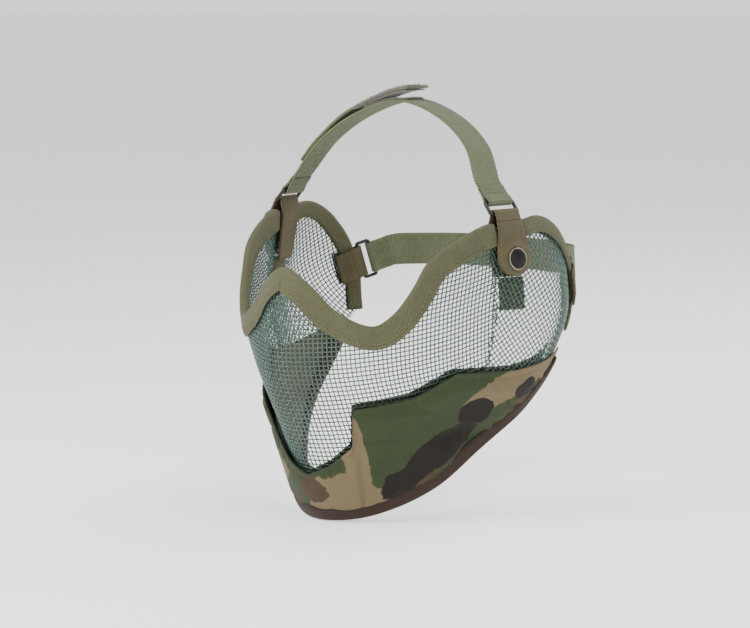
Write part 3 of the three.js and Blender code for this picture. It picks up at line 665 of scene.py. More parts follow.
def wrinkled(columns, rows, pressure, slack):
    """Cloth simulation of the cover: pinned round its borders, slack, and pressed out from behind."""
    angle, z = jaw_points(columns, rows)
    base, normal, _, _ = form_frame(angle, z)
    index = np.arange(columns * rows).reshape(columns, rows)
    quads = grid_quads(index)
    mesh = bpy.data.meshes.new("cloth_try")
    start = (base + normal * COVER[1]).reshape(-1, 3)
    mesh.from_pydata((start * 0.01).tolist(), [], quads.tolist())
    cloth = bpy.data.objects.new("cloth_try", mesh)
    bpy.context.collection.objects.link(cloth)
    border = np.zeros((columns, rows), bool)
    border[:2], border[-2:], border[:, :2], border[:, -2:] = True, True, True, True
    pins = cloth.vertex_groups.new(name="pins")
    pins.add(index[border].tolist(), 1.0, "REPLACE")
    modifier = cloth.modifiers.new("cloth", "CLOTH")
    settings = modifier.settings
    settings.vertex_group_mass = "pins"
    settings.quality = 6
    settings.mass = 0.3
    settings.tension_stiffness = settings.compression_stiffness = 12
    settings.bending_stiffness = 0.4
    settings.shrink_min = -slack
    settings.use_pressure = True
    settings.uniform_pressure_force = pressure
    settings.effector_weights.gravity = 0
    modifier.collision_settings.use_collision = False
    modifier.point_cache.frame_end = 30
    scene = bpy.context.scene
    for step in range(1, 31):
        scene.frame_set(step)
    shaped = cloth.evaluated_get(bpy.context.evaluated_depsgraph_get()).data
    moved = np.empty(len(shaped.vertices) * 3)
    shaped.vertices.foreach_get("co", moved)
    scene.frame_set(1)
    bpy.data.objects.remove(cloth)
    moved = moved.reshape(-1, 3) / 0.01
    rise = np.einsum("ij,ij->i", moved - start, normal.reshape(-1, 3)).reshape(columns, rows)
    return np.nan_to_num(rise)


def value_noise(u, v, cells_u, cells_v, seed):
    """Smooth random values over a grid."""
    grid = np.random.default_rng(seed).normal(size=(cells_u + 2, cells_v + 2))
    a, b = u * cells_u, v * cells_v
    i, j = a.astype(int), b.astype(int)
    s, t = a - i, b - j
    s, t = s * s * (3 - 2 * s), t * t * (3 - 2 * t)
    low = grid[i, j] * (1 - s) + grid[i + 1, j] * s
    high = grid[i, j + 1] * (1 - s) + grid[i + 1, j + 1] * s
    return low * (1 - t) + high * t


def cloth_jaw(layer, outward, columns=560, rows=64, puff=1.1):
    """A cloth shell over the jaw, puffed out by its padding between the stitched borders."""
    angle, z = jaw_points(columns, rows)
    u = np.linspace(0, 1, columns)[:, None] * np.ones((1, rows))
    v = np.ones((columns, 1)) * np.linspace(0, 1, rows)[None, :]
    low, high = bottom_edge(angle), np.maximum(cover_top(angle), bottom_edge(angle) + 4)
    inside = np.minimum(z - low, high - z)
    hem = np.clip((inside - 2.6) / 5.0, 0, 1)
    swell = hem * hem * (3 - 2 * hem)
    crease = (0.45 * value_noise(u, v, 40, 3, 3) + 0.25 * value_noise(u, v, 90, 6, 5)
              + 0.1 * value_noise(u, v, 200, 14, 9))
    if outward < 0:
        rise = puff * swell * (0.75 + 0.5 * crease)
    else:
        coarse = np.clip(wrinkled(281, 33, 0.5, 0.05), -0.2, 4.0)
        at_u = np.clip(np.linspace(0, 280, columns), 0, 279.999)
        at_v = np.clip(np.linspace(0, 32, rows), 0, 31.999)
        i, j = at_u.astype(int)[:, None], at_v.astype(int)[None, :]
        a, b = (at_u - at_u.astype(int))[:, None], (at_v - at_v.astype(int))[None, :]
        simulated = ((coarse[i, j] * (1 - a) + coarse[i + 1, j] * a) * (1 - b)
                     + (coarse[i, j + 1] * (1 - a) + coarse[i + 1, j + 1] * a) * b)
        rise = swell * (0.35 * puff + 0.25 * crease) + simulated * np.clip(inside / 3.0, 0, 1) * 0.6
    rise = np.clip(rise, -0.1, 2.6)
    seam = np.exp(-((inside - 3.4) / 0.7) ** 2) * 0.35
    fringe = np.clip(inside / 0.6, 0, 1)
    back, front = layer if outward > 0 else layer[::-1]
    outer = over_form(angle, z, front + outward * (rise - seam - 0.25 * (1 - fringe)))
    inner = over_form(angle, z, back)
    return outer, inner, angle, z


def shell(name, outer, inner, material, uv_grid):
    """A closed shell from two grids of the same shape."""
    columns, rows = outer.shape[:2]
    index = np.arange(columns * rows).reshape(columns, rows)
    quads = grid_quads(index)
    rim = np.concatenate([index[:-1, 0], index[-1, :-1], index[1:, -1][::-1], index[0, 1:][::-1]])
    after = np.roll(rim, -1)
    offset = columns * rows
    sides = np.stack([rim, rim + offset, after + offset, after], -1)
    faces = np.concatenate([quads, quads[:, ::-1] + offset, sides])
    verts = np.concatenate([outer.reshape(-1, 3), inner.reshape(-1, 3)])
    uv = np.concatenate([uv_grid.reshape(-1, 2)] * 2)
    return make(name, verts, faces, material, uv)


def paint_camo(obj, angle, z):
    """Painted fields of the camouflage: positive inside a patch, falling off outside it."""
    length = np.sign(angle) * np.interp(np.abs(angle), TURNS, AROUND[int(-60 - HEIGHTS[0])])
    fields = {
        # centre round the jaw, centre height, half length, half height, lean
        "tan_patch": [
            (20, -100, 24, 14, 0.1), (32, -76, 8, 26, 0.1), (44, -104, 16, 9, 0.3), (118, -40, 24, 8, 0.45),
            (150, -30, 18, 7, 0.3), (98, -66, 7, 4, 0.6), (-40, -84, 20, 10, -0.3), (-98, -52, 24, 9, -0.5),
            (-66, -62, 10, 16, 0.2), (-140, -36, 16, 8, -0.2)],
        "brown_patch": [
            (2, -97, 9, 7, 0.0), (106, -54, 7, 4, 0.5), (72, -92, 12, 4, 0.6), (142, -44, 12, 6, 0.5),
            (-24, -104, 12, 6, -0.2), (-82, -74, 16, 7, -0.6), (-122, -48, 12, 6, -0.5)],
        "black_patch": [
            (84, -74, 30, 9, 0.6), (58, -93, 14, 8, 0.5), (104, -52, 11, 8, 0.3), (136, -40, 8, 5, 0.4),
            (-8, -110, 10, 4, 0.0), (-52, -96, 18, 7, -0.4), (-104, -66, 18, 6, -0.5),
            (-70, -44, 12, 6, 0.2), (-150, -30, 10, 5, 0.0)],
    }
    for name, patches in fields.items():
        value = np.full(angle.shape, -1.0)
        for centre, height, half_long, half_tall, lean in patches:
            dx, dz = length - centre, z - height
            c, s = math.cos(lean), math.sin(lean)
            along, across = (dx * c + dz * s) / half_long, (dz * c - dx * s) / half_tall
            value = np.maximum(value, 1 - np.sqrt(along**2 + across**2))
        values = np.concatenate([value.ravel()] * 2).astype(np.float32)
        attribute = obj.data.attributes.new(name, "FLOAT", "POINT")
        attribute.data.foreach_set("value", values)


def arc_grid(outer):
    """Lengths round and up a grid of points, for its weave."""
    middle = outer[:, outer.shape[1] // 2]
    round_it = lengths_along(middle)
    steps = np.linalg.norm(np.diff(outer, axis=1), axis=2)
    up_it = np.concatenate([np.zeros((len(outer), 1)), np.cumsum(steps, axis=1)], axis=1)
    return np.stack([round_it[:, None] * np.ones_like(up_it), up_it], -1)


outer, inner, jaw_angle, jaw_z = cloth_jaw(COVER, 1)
cover = shell("jaw_cover_cloth", outer, inner, MATERIALS["camo"], arc_grid(outer))
paint_camo(cover, jaw_angle, jaw_z)
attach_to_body(cover, "mask")
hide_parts("jaw_cover")
outer, inner = cloth_jaw(LINING, -1, 360, 40, 0.5)[:2]
lining = shell("jaw_lining_cloth", outer, inner, MATERIALS["lining"], arc_grid(outer))
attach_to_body(lining, "mask")
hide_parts("jaw_lining")


def pattern_size(offset):
    """Length, greatest height and area in metres of the panel cut to lie at an offset over the form."""
    angle, z = jaw_points(240, 24)
    panel = over_form(angle, z, np.full(angle.shape, offset)) * MM
    middle = panel[:, panel.shape[1] // 2]
    along, up = panel[1:, :-1] - panel[:-1, :-1], panel[:-1, 1:] - panel[:-1, :-1]
    length = np.linalg.norm(np.diff(middle, axis=0), axis=1).sum()
    tall = np.linalg.norm(np.diff(panel, axis=1), axis=2).sum(axis=1).max()
    return (float(length), float(tall)), float(np.linalg.norm(np.cross(along, up), axis=-1).sum())


cover_flat, cover_area = pattern_size((COVER[0] + COVER[1]) / 2)
lining_flat, lining_area = pattern_size((LINING[0] + LINING[1]) / 2)


# ---------------------------------------------------------------- harness places, as in the CAD source
STRAP_WIDTH, STRAP_THICKNESS, FOLD_WIDTH, ANCHOR_STRIP_WIDTH = 20.0, 1.5, 19.4, 16
RING_WIRE, RING_SPAN, RING_CORNER, LOOP_LENGTH = 2.2, 8.0, 1.3, 10.0
BAR = RING_WIRE / 2
TAB_ANGLE, TAB_BAR_HEIGHT, TAB_BAR_OFFSET, TAB_END, TAB_END_WIDTH = 78, 60.0, 0.9, 24.0, 23.0
TAB_SPREAD, TAB_OUTER_LEAF, STRAIGHT = 6.0, 8.0, 2.7
FLAP_OFFSET = EAR_MESH[1] + 1.9
RING_TILT, REAR_TILT = 38, 4
REAR_BAR_BACK, REAR_HEIGHT, REAR_LEAF = 5.0, 15.0, 12.0
SNAP_HEIGHT, CAP_RADIUS, CAP_HEIGHT = 33.5, 6.4, 2.2
CROWN_HEIGHT, CROWN_BACK, NAPE, NAPE_HEIGHT = 122.0, -1.0, 105.0, 23.0
TAIL_ROOT, TAIL_TIP, TAIL_LIFT, TAPE = 0.685, 0.465, 4.5, 0.8


def turned_about(v, axis, degrees):
    t = math.radians(degrees)
    return v * math.cos(t) + np.cross(axis, v) * math.sin(t) + axis * (axis @ v) * (1 - math.cos(t))


_, _, tab_around, _ = form_frame(TAB_ANGLE, TAB_BAR_HEIGHT)
TAB_ALONG = unit(tab_around)


def under_tab(across, down, offset):
    """Across the tab, down from the held bar, offset over the form; straight at the bar."""
    across, down, offset = np.broadcast_arrays(across, down, offset)
    on_form = over_form(TAB_ANGLE + across / np.linalg.norm(tab_around), TAB_BAR_HEIGHT - down, offset)
    straight = over_form(TAB_ANGLE, TAB_BAR_HEIGHT - down, offset) + across[..., None] * TAB_ALONG
    w = smooth_step(down, STRAIGHT, TAB_SPREAD)[..., None]
    return straight * (1 - w) + on_form * w


RIM_ANGLES = np.linspace(110, 124, 141)
def rim_angle(z):
    return RIM_ANGLES[top_edge(RIM_ANGLES) >= z].max()


RIM_MIDDLE = rim_angle(REAR_HEIGHT)
RIM_SCALE = np.linalg.norm(form_frame(RIM_MIDDLE, REAR_HEIGHT)[2])
RIM_LEAN = math.atan2(-(rim_angle(REAR_HEIGHT + 8) - rim_angle(REAR_HEIGHT - 8)) * RIM_SCALE, 16)


def beside_rim(forward, offset, along):
    ahead = forward - REAR_BAR_BACK
    back = -along * math.sin(RIM_LEAN) - ahead * math.cos(RIM_LEAN)
    up = along * math.cos(RIM_LEAN) - ahead * math.sin(RIM_LEAN)
    return over_form(RIM_MIDDLE + back / RIM_SCALE, REAR_HEIGHT + up, offset)


RIM_STEP = (beside_rim(0.0, 0.0, 1.0) - beside_rim(0.0, 0.0, -1.0)) / 2


def at_rear(along, forward, offset):
    along, forward, offset = np.broadcast_arrays(along, forward, offset)
    straight = beside_rim(forward, offset, 0 * along) + along[..., None] * RIM_STEP
    w = smooth_step(forward, STRAIGHT, TAB_SPREAD)[..., None]
    return straight * (1 - w) + beside_rim(forward, offset, along) * w


class Ring:
    """The frame of a ring: along its held bar, towards its other bar, and out of it."""

    def __init__(self, origin, along, toward):
        self.origin, self.across = origin, unit(along)
        self.run = unit(toward - self.across * (toward @ self.across))
        self.out = np.cross(self.across, self.run)

    def at(self, a, r, o):
        a, r, o = np.broadcast_arrays(a, r, o)
        return (self.origin + a[..., None] * self.across + r[..., None] * self.run + o[..., None] * self.out)


head = Ring(over_form(TAB_ANGLE, TAB_BAR_HEIGHT, TAB_BAR_OFFSET), TAB_ALONG,
            turned_about(np.array([0.0, 0, 1]), TAB_ALONG, -RING_TILT))
rear_middle = (ear_low + ear_high) / 2
rear_bar = at_rear(0.0, 0.0, rear_middle)
rear_run = unit(at_rear(0.0, -2.0, rear_middle) - rear_bar)
rear_along = unit(-RIM_STEP)
rear = Ring(rear_bar, rear_along, turned_about(rear_run, rear_along, -REAR_TILT))


def fold_line(long_leaf, y_in, y, y_out, short_leaf, spread_at):
    r = BAR + GAP + WEB / 2
    turn = np.radians(np.linspace(-90, -270, 14))
    arc = np.stack([r * np.cos(turn), y + r * np.sin(turn)], -1)
    return np.concatenate([[(long_leaf, y_in), (spread_at, y_in)], arc,
                           [(spread_at, y_out), (short_leaf, y_out)]])


def folded(name, line, place, width, thickness, material):
    """Webbing that follows a folded line: place(across, x, y) maps the line's plane."""
    line = round_line(line, 1.5, 4)
    line = line[np.concatenate([[True], np.linalg.norm(np.diff(line, axis=0), axis=1) > 1e-3])]
    reach = lengths_along(line)
    run = unit(np.gradient(line, axis=0))

    def at(s, across, height):
        x, y = np.interp(s, reach, line[:, 0]), np.interp(s, reach, line[:, 1])
        dx, dy = np.interp(s, reach, run[:, 0]), np.interp(s, reach, run[:, 1])
        size = np.hypot(dx, dy)
        return place(across, x - dy / size * height, y + dx / size * height)
    stations = np.linspace(0, reach[-1], int(reach[-1] / 0.7) + 2)
    return sweep(name, at, stations, flat_section(width, thickness), MATERIALS[material]), at, reach[-1]


SEAM_THREAD = 0.22


def seam_runs(place, path, height, pitch=3.0):
    """Stitches along a path of (s, across) points on the face at a height."""
    path = np.asarray(path, float)
    reach = lengths_along(path)

    def line(share):
        s = np.interp(share * reach[-1], reach, path[:, 0])
        across = np.interp(share * reach[-1], reach, path[:, 1])
        point = place(s, across, np.full(len(s), float(height)))
        beyond = place(s, across, np.full(len(s), float(height) + np.sign(height)))
        return point, unit(beyond - point)
    return stitch_runs(line, 0.04, pitch, pitch * 0.72, SEAM_THREAD)


def both_faces(place, path, half, pitch=3.0):
    """Stitches along a path on the outer and the inner face of a webbing."""
    return seam_runs(place, path, half, pitch) + seam_runs(place, path, -half, pitch)


def sewing_at(name, side, sign, body, slot_name, runs):
    """The thread of a seam, on the body that it sews."""
    attach(tubes(f"{name}_{side}", runs, SEAM_THREAD, 5, MATERIALS["thread"]), sign, body, slot_name)


def attach(obj, sign, body, slot_name, *nodes):
    flipped(obj, sign)
    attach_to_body(obj, body)
    if nodes:
        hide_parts(*nodes)
    return obj


def lathe(name, profile, origin, axis, material, sides=56):
    """A turned piece from [radius, height] points."""
    profile = np.asarray(profile, float)
    side = unit(np.cross(axis, [0.0, 0, 1.0]))
    other = np.cross(axis, side)
    turn = np.linspace(0, 2 * math.pi, sides, endpoint=False)
    circle = np.cos(turn)[:, None] * side + np.sin(turn)[:, None] * other
    rings = origin + profile[:, None, :1] * circle[None] + profile[:, None, 1:] * axis
    faces = ring_faces(len(profile), sides).tolist()
    closed_loop = np.allclose(profile[0], profile[-1])
    if not closed_loop:
        faces.append(list(range(sides)))
        faces.append(list(range((len(profile) - 1) * sides, len(profile) * sides)))
    uv = np.stack([np.tile(turn * 5, len(profile)), np.repeat(profile[:, 0], sides)], -1)
    obj = make(name, rings.reshape(-1, 3), faces, MATERIALS[material], uv)
    bm = bmesh.new()
    bm.from_mesh(obj.data)
    bmesh.ops.remove_doubles(bm, verts=bm.verts, dist=1e-7)
    bm.to_mesh(obj.data)
    bm.free()
    return obj


def ring_piece(name, ring):
    """A rounded rectangle of wire."""
    half_long, half_short = FOLD_WIDTH / 2 + GAP, RING_SPAN / 2 - RING_CORNER
    turn = np.linspace(0, 2 * math.pi, 64, endpoint=False) + math.pi / 64
    c, s = np.cos(turn), np.sin(turn)
    a = np.sign(c) * half_long + RING_CORNER * c
    r = RING_SPAN / 2 + np.sign(s) * half_short + RING_CORNER * s
    points = ring.at(a, r, 0 * a)
    normals = np.tile(ring.out, (len(points), 1))
    return tubes(name, [(points, normals)], BAR, 16, MATERIALS["ring"], close=True)


snap_point, snap_normal, _, _ = form_frame(TAB_ANGLE, SNAP_HEIGHT)
STUD = EAR_MESH[1] + GAP
SOCKET = STUD + 1.1
CAP = FLAP_OFFSET + CLOTH + 1.7 + GAP
flap_top = TAB_OUTER_LEAF + GAP
flap_length = TAB_BAR_HEIGHT - TAB_END - flap_top
snap_down = TAB_BAR_HEIGHT - SNAP_HEIGHT
inner_leaf = FACE_MESH[0] - GAP - BINDING - GAP - WEB / 2
outer_leaf = FLAP_OFFSET + WEB / 2
HINGE_DOWN = 4.6


def flap_width(down):
    from_end = TAB_BAR_HEIGHT - TAB_END - down
    round_end = TAB_END_WIDTH / 2
    belly = math.sqrt(max(round_end**2 - max(round_end - from_end, 0) ** 2, 4))
    neck = round_end + (STRAP_WIDTH / 2 - round_end) * float(smooth_step(from_end, round_end, flap_length))
    return 2 * (belly if from_end < round_end else neck)


def flap_place(down, across, height):
    down = np.broadcast_to(down, across.shape)
    rise = 1.7 * (1 - smooth_step(np.hypot(across, down - snap_down), 7.2, 11.6))
    lead = smooth_step(down, TAB_SPREAD - 1.5, TAB_SPREAD + 2)
    return under_tab(across, down, FLAP_OFFSET + WEB / 2 + rise * lead + height)


def snap_pieces(side, sign):
    """The turned parts of a snap: each profile is (radius, height) points, rounded at its corners."""
    flap = f"tab_flap_{side}"
    rim_in, rim_out, post = CAP_RADIUS - 0.62, CAP_RADIUS + 0.02, EAR_MESH[1]
    for part, body, material, slot, node, radius, profile in (
            ("cap_face", flap, "cap", "snap_cap", "snap_cap", 0.8,
             [(0.01, CAP), (CAP_RADIUS - 0.5, CAP), (CAP_RADIUS - 0.5, CAP + 0.9),
              (CAP_RADIUS * 0.86, CAP + 1.25), (CAP_RADIUS * 0.6, CAP + 1.75),
              (CAP_RADIUS * 0.3, CAP + 2.1), (0.01, CAP + CAP_HEIGHT)]),
            ("cap_rim", flap, "steel", "snap_steel", None, 0.2,
             [(rim_in, CAP + 0.25), (rim_in, CAP - 0.05), (rim_out, CAP - 0.05), (rim_out, CAP + 0.95),
              (CAP_RADIUS - 0.35, CAP + 1.22), (CAP_RADIUS - 0.66, CAP + 1.05), (rim_in, CAP + 0.25)]),
            ("socket_ring", flap, "steel", "snap_steel", "snap_socket", 0.3,
             [(3.5, SOCKET), (5.6, SOCKET), (5.6, SOCKET + 1.4), (3.5, SOCKET + 1.4), (3.5, SOCKET)]),
            ("stud_post", "mask", "steel", "snap_steel", "snap_stud", 0.25,
             [(0.01, STUD), (5.5, STUD), (5.5, STUD + 0.8), (2.6, STUD + 0.8), (3.1, STUD + 1.8),
              (2.6, STUD + 2.5), (0.01, STUD + 2.5)]),
            ("rivet_disc", "mask", "steel", "snap_steel", "snap_rivet", 0.2,
             [(0.01, -0.5), (4.6, -0.5), (4.6, 0.2), (1.8, 0.2), (1.8, post), (0.01, post)])):
        turned = lathe(f"snap_{part}_{side}", round_line(profile, radius), snap_point, snap_normal, material)
        attach(turned, sign, body, slot, *([f"{node}_{side}"] if node else []))


def tab_pieces(side, sign):
    line = fold_line(TAB_BAR_HEIGHT - TAB_END, inner_leaf, TAB_BAR_OFFSET, outer_leaf,
                     HINGE_DOWN + 0.02, TAB_SPREAD)
    line = np.concatenate([line[:-2], [(HINGE_DOWN, outer_leaf - 0.9)]])
    leaf, place, _ = folded(f"tab_fold_{side}", line, under_tab, FOLD_WIDTH, WEB + 0.1, "tab")
    attach(leaf, sign, "mask", "tab_webbing", f"tab_{side}")
    box = [(2.5, -7.5), (25, -7.5), (25, 7.5), (2.5, 7.5), (2.5, -7.5)]
    sewing_at("tab_seam", side, sign, "mask", "tab_webbing", both_faces(place, box, -(WEB + 0.1) / 2))

    end = TAB_BAR_HEIGHT - TAB_END
    stations = np.concatenate([np.linspace(HINGE_DOWN, end - 8, 34),
                               end - 8 * np.cos(np.linspace(0, math.pi / 2, 16))[1:]])
    start_offset = outer_leaf - 0.9

    def place_flap(s, across, height):
        settle = (start_offset - outer_leaf) * (1 - smooth_step(s, HINGE_DOWN, TAB_SPREAD + 1.5))
        return flap_place(s, across, height + settle)
    flap = sweep(f"tab_flap_webbing_{side}", place_flap, stations,
                 lambda s: flat_section(flap_width(s), WEB + 0.2), MATERIALS["tab"])
    border = ([(d, flap_width(d) / 2 - 1.7) for d in np.linspace(HINGE_DOWN + 4, end - 11, 20)]
              + [(end - 11.5 + 9.8 * math.sin(t), 9.8 * math.cos(t)) for t in np.linspace(0, math.pi, 30)]
              + [(d, -flap_width(d) / 2 + 1.7) for d in np.linspace(end - 11, HINGE_DOWN + 4, 20)])
    sewing = tubes(f"tab_flap_stitching_{side}", seam_runs(place_flap, border, (WEB + 0.2) / 2, 2.6),
                   SEAM_THREAD, 5, MATERIALS["thread"])
    hinge = under_tab(0.0, flap_top - GAP / 2, FLAP_OFFSET + CLOTH)
    start, stop = hinge + [0, 0, 3.4], hinge + [0, 0, -3.4]
    for piece in (flap, sewing):
        flipped(piece, sign)
        mirror(start, sign) * MM
        mirror(stop, sign) * MM
        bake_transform(piece)
    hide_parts(f"tab_flap_{side}")

    top, foot = TAB_BAR_HEIGHT - TAB_END + GAP, TAB_BAR_HEIGHT - 5.0

    def strip_place(s, across, height):
        return under_tab(across, s, EAR_MESH[0] - SOFT_GAP - WEB / 2 + height)
    strip = sweep(f"anchor_strip_webbing_{side}", strip_place, np.linspace(top, foot, 26),
                  flat_section(ANCHOR_STRIP_WIDTH, WEB), MATERIALS["binding"])
    attach(strip, sign, "mask", "olive_webbing", f"anchor_strip_{side}")
    path = [(top + 1, -6), (foot - 1.5, -6), (foot - 1.5, 6), (top + 1, 6)]
    runs = both_faces(strip_place, path, WEB / 2)
    sewing_at("anchor_strip_seam", side, sign, "mask", "olive_webbing", runs)


def ring_and_loop(which, ring, side, sign):
    body = f"{which}_ring_{side}"
    attach(ring_piece(f"{which}_ring_wire_{side}", ring), sign, body, "ring_wire", f"{which}_ring_{side}")
    half = GAP + WEB / 2
    line = fold_line(LOOP_LENGTH, -half, 0, half, LOOP_LENGTH, 4.5)
    loop, place, length = folded(
        f"{which}_loop_webbing_{side}", line, lambda across, x, y: ring.at(across, RING_SPAN + x, y),
        FOLD_WIDTH, WEB, "strap")
    loop_node = "strap_loop" if which == "head" else "rear_loop"
    attach(loop, sign, body, "elastic_strap", f"{loop_node}_{side}")
    runs = []
    for s in (1.6, 4.6):
        for at in (s, length - s):
            runs += both_faces(place, [(at, -8.2), (at, 8.2)], WEB / 2, 2.4)
    sewing_at(f"{which}_loop_seam", side, sign, body, "elastic_strap", runs)


def rear_anchor_piece(side, sign):
    y_in = ear_low - BINDING / 2 - SOFT_GAP - WEB / 2
    y_out = ear_high + BINDING / 2 + SOFT_GAP + WEB / 2
    reach = REAR_BAR_BACK + REAR_LEAF
    line = fold_line(reach, y_in, rear_middle, y_out, reach, 3.2)
    leaf, place, length = folded(f"rear_anchor_webbing_{side}", line, at_rear, FOLD_WIDTH, WEB, "tab")
    attach(leaf, sign, "mask", "tab_webbing", f"rear_anchor_{side}")
    runs = []
    for near, far in ((1.6, 9.5), (length - 1.6, length - 9.5)):
        runs += both_faces(place, [(near, -8), (far, -8), (far, 8), (near, 8), (near, -8)], WEB / 2, 2.6)
    sewing_at("rear_anchor_seam", side, sign, "mask", "tab_webbing", runs)


for side, sign in SIDES:
    tab_pieces(side, sign)
    snap_pieces(side, sign)
    ring_and_loop("head", head, side, sign)
    ring_and_loop("rear", rear, side, sign)
    rear_anchor_piece(side, sign)


# ---------------------------------------------------------------- straps
def catmull(points, count=900):
    """A centripetal curve through points."""
    p = np.array(points, float)
    p = np.concatenate([[2 * p[0] - p[1]], p, [2 * p[-1] - p[-2]]])
    out = []
    for a, b, c, d in zip(p[:-3], p[1:-2], p[2:-1], p[3:]):
        t0 = np.linalg.norm(b - a) ** 0.5
        t1 = np.linalg.norm(c - b) ** 0.5
        t2 = np.linalg.norm(d - c) ** 0.5
        m1 = (b - a) / t0 - (c - a) / (t0 + t1) + (c - b) / t1
        m2 = (c - b) / t1 - (d - b) / (t1 + t2) + (d - c) / t2
        m1, m2 = m1 * t1, m2 * t1
        t = np.linspace(0, 1, count // (len(points) - 1), endpoint=False)[:, None]
        out.append((2 * t**3 - 3 * t**2 + 1) * b + (t**3 - 2 * t**2 + t) * m1 + (3 * t**2 - 2 * t**3) * c
                   + (t**3 - t**2) * m2)
    return np.concatenate(out + [p[-2:-1]])


class Strap:
    """A strap from the left loop to the right loop, read at shares of its length."""

    def __init__(self, ring, between, middle):
        start = RING_SPAN + LOOP_LENGTH + GAP
        half = [ring.at(0.0, start, 0.0), ring.at(0.0, start + 4, 0.0), *map(np.array, between)]
        flip = np.array([-1, 1, 1])
        self.line = catmull(half + [p * flip for p in half[:-1][::-1]])
        self.reach = lengths_along(self.line)
        self.length = self.reach[-1]
        self.run = unit(np.gradient(self.line, axis=0))
        self.ring, self.middle = ring, np.array(middle, float)

    def place(self, share, across, height):
        share, across, height = np.broadcast_arrays(np.asarray(share, float), across, height)
        inside = np.clip(share, 0, 1)
        s = inside * self.length
        point = np.stack([np.interp(s, self.reach, self.line[:, k]) for k in range(3)], -1)
        run = unit(np.stack([np.interp(s, self.reach, self.run[:, k]) for k in range(3)], -1))
        point = point + run * ((share - inside) * self.length)[..., None]
        turn = (np.abs(1 - 2 * inside) ** 1.5)[..., None]
        end = np.where((inside < 0.5)[..., None], self.ring.across, self.ring.across * [-1, 1, 1])
        width = self.middle * (1 - turn) + end * turn
        width = unit(width - run * np.sum(width * run, -1, keepdims=True))
        out = np.cross(width, run)
        return point + width * across[..., None] + out * height[..., None]


STRAP = (-STRAP_THICKNESS / 2, STRAP_THICKNESS / 2)
LOOP_TAPE = (STRAP[1] + GAP, STRAP[1] + GAP + TAPE)
HOOK_TAPE = (LOOP_TAPE[1] + GAP, LOOP_TAPE[1] + GAP + TAPE)
TAIL = (HOOK_TAPE[1] + GAP, HOOK_TAPE[1] + GAP + STRAP_THICKNESS)
RETURN_LOW = STRAP[1] + SOFT_GAP
RETURN_START = 0.95


def strap_pieces(which, strap):
    def piece(name, start, stop, width, low, high, material, lift=None, steps=None):
        middle, thick = (low + high) / 2, high - low

        def at(s, across, height):
            t = (s - start) / (stop - start)
            return strap.place(s, across, height + middle + (lift(t) if lift else 0))
        count = steps or int(abs(stop - start) * strap.length / 1.0)
        return sweep(f"{which}_{name}", at, np.linspace(start, stop, count), flat_section(width, thick, 14),
                     MATERIALS[material]), at
    near, far, past = 5.0 / strap.length, 36.0 / strap.length, 1.2 / strap.length
    for side, sign, start, stop in (("left", 1, -past, 0.5), ("right", -1, 1 + past, 0.5)):
        half, _ = piece(f"strap_{side}", start, stop, STRAP_WIDTH, *STRAP, "strap")
        from_share, to_share = (far, near) if sign > 0 else (1 - far, 1 - near)
        points = [strap.place(s, 0.0, 0.0) * MM for s in (from_share, to_share)]
        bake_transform(half)
        if sign > 0:
            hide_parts(f"{which}_strap")
    climb = TAIL[0] - RETURN_LOW
    back, _ = piece("strap_return_layer", RETURN_START, TAIL_ROOT, STRAP_WIDTH, RETURN_LOW,
                    RETURN_LOW + STRAP_THICKNESS, "strap", lambda t: climb * smooth_step(t, 0.35, 0.95))
    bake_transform(back)
    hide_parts(f"{which}_strap_return")
    tape_from, tape_end = TAIL_ROOT - 0.04, TAIL_TIP + 0.01
    under, _ = piece("loop_tape_strip", tape_from, tape_end, STRAP_WIDTH - 2, *LOOP_TAPE, "tape")
    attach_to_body(under, "mask")
    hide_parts(f"{which}_loop_tape")
    tail_lift = lambda t: TAIL_LIFT * np.clip(t, 0, 1) ** 2
    tail, tail_at = piece("tail_strap", TAIL_ROOT, TAIL_TIP, STRAP_WIDTH, *TAIL, "tape", tail_lift)
    share_of = lambda t: (tape_from - (tape_from - tape_end) * t - TAIL_ROOT) / (TAIL_TIP - TAIL_ROOT)
    hook, _ = piece("hook_tape_strip", tape_from, tape_end, STRAP_WIDTH - 2, *HOOK_TAPE, "tape",
                    lambda t: tail_lift(share_of(t)))
    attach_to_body(hook, f"{which}_tail")
    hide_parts(f"{which}_hook_tape")
    count = 2600
    shares, across = rng.uniform(0.02, 0.99, count), rng.uniform(-9.4, 9.4, count)
    runs = []
    root, above = (tail_at(TAIL_ROOT + (TAIL_TIP - TAIL_ROOT) * shares, across,
                           np.full(count, STRAP_THICKNESS / 2 + height)) for height in (-0.1, 0.9))
    for low, high, lean in zip(root, above, rng.normal(0, 0.45, (count, 3))):
        curl = np.array([low, low * 0.5 + high * 0.5 + lean * 0.3, low * 0.15 + high * 0.85 + lean])
        normal = unit(np.cross(high - low, [0.3, 0.2, 0.9]))
        runs.append((curl, np.tile(normal, (3, 1)), np.array([0.07, 0.06, 0.03])))
    fuzz = tubes(f"{which}_tail_fuzz", runs, 0.06, 3, MATERIALS["tape"])
    start, stop = (strap.place(s, 0.0, TAIL[0]) * MM for s in (TAIL_ROOT + 0.004, TAIL_ROOT - 0.03))
    for part in (tail, fuzz):
        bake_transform(part)
        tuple(start)
        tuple(stop)
    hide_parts(f"{which}_tail")


OVER_CROWN = [(55, CROWN_BACK - 7, 97), (31, CROWN_BACK - 2, 113.5), (0, CROWN_BACK, CROWN_HEIGHT)]
ROUND_NAPE = [(60, 87, NAPE_HEIGHT), (32, 101, NAPE_HEIGHT), (0, NAPE, NAPE_HEIGHT)]
strap_pieces("head", Strap(head, OVER_CROWN, (0, 1, 0)))
strap_pieces("rear", Strap(rear, ROUND_NAPE, (0, 0, -1)))


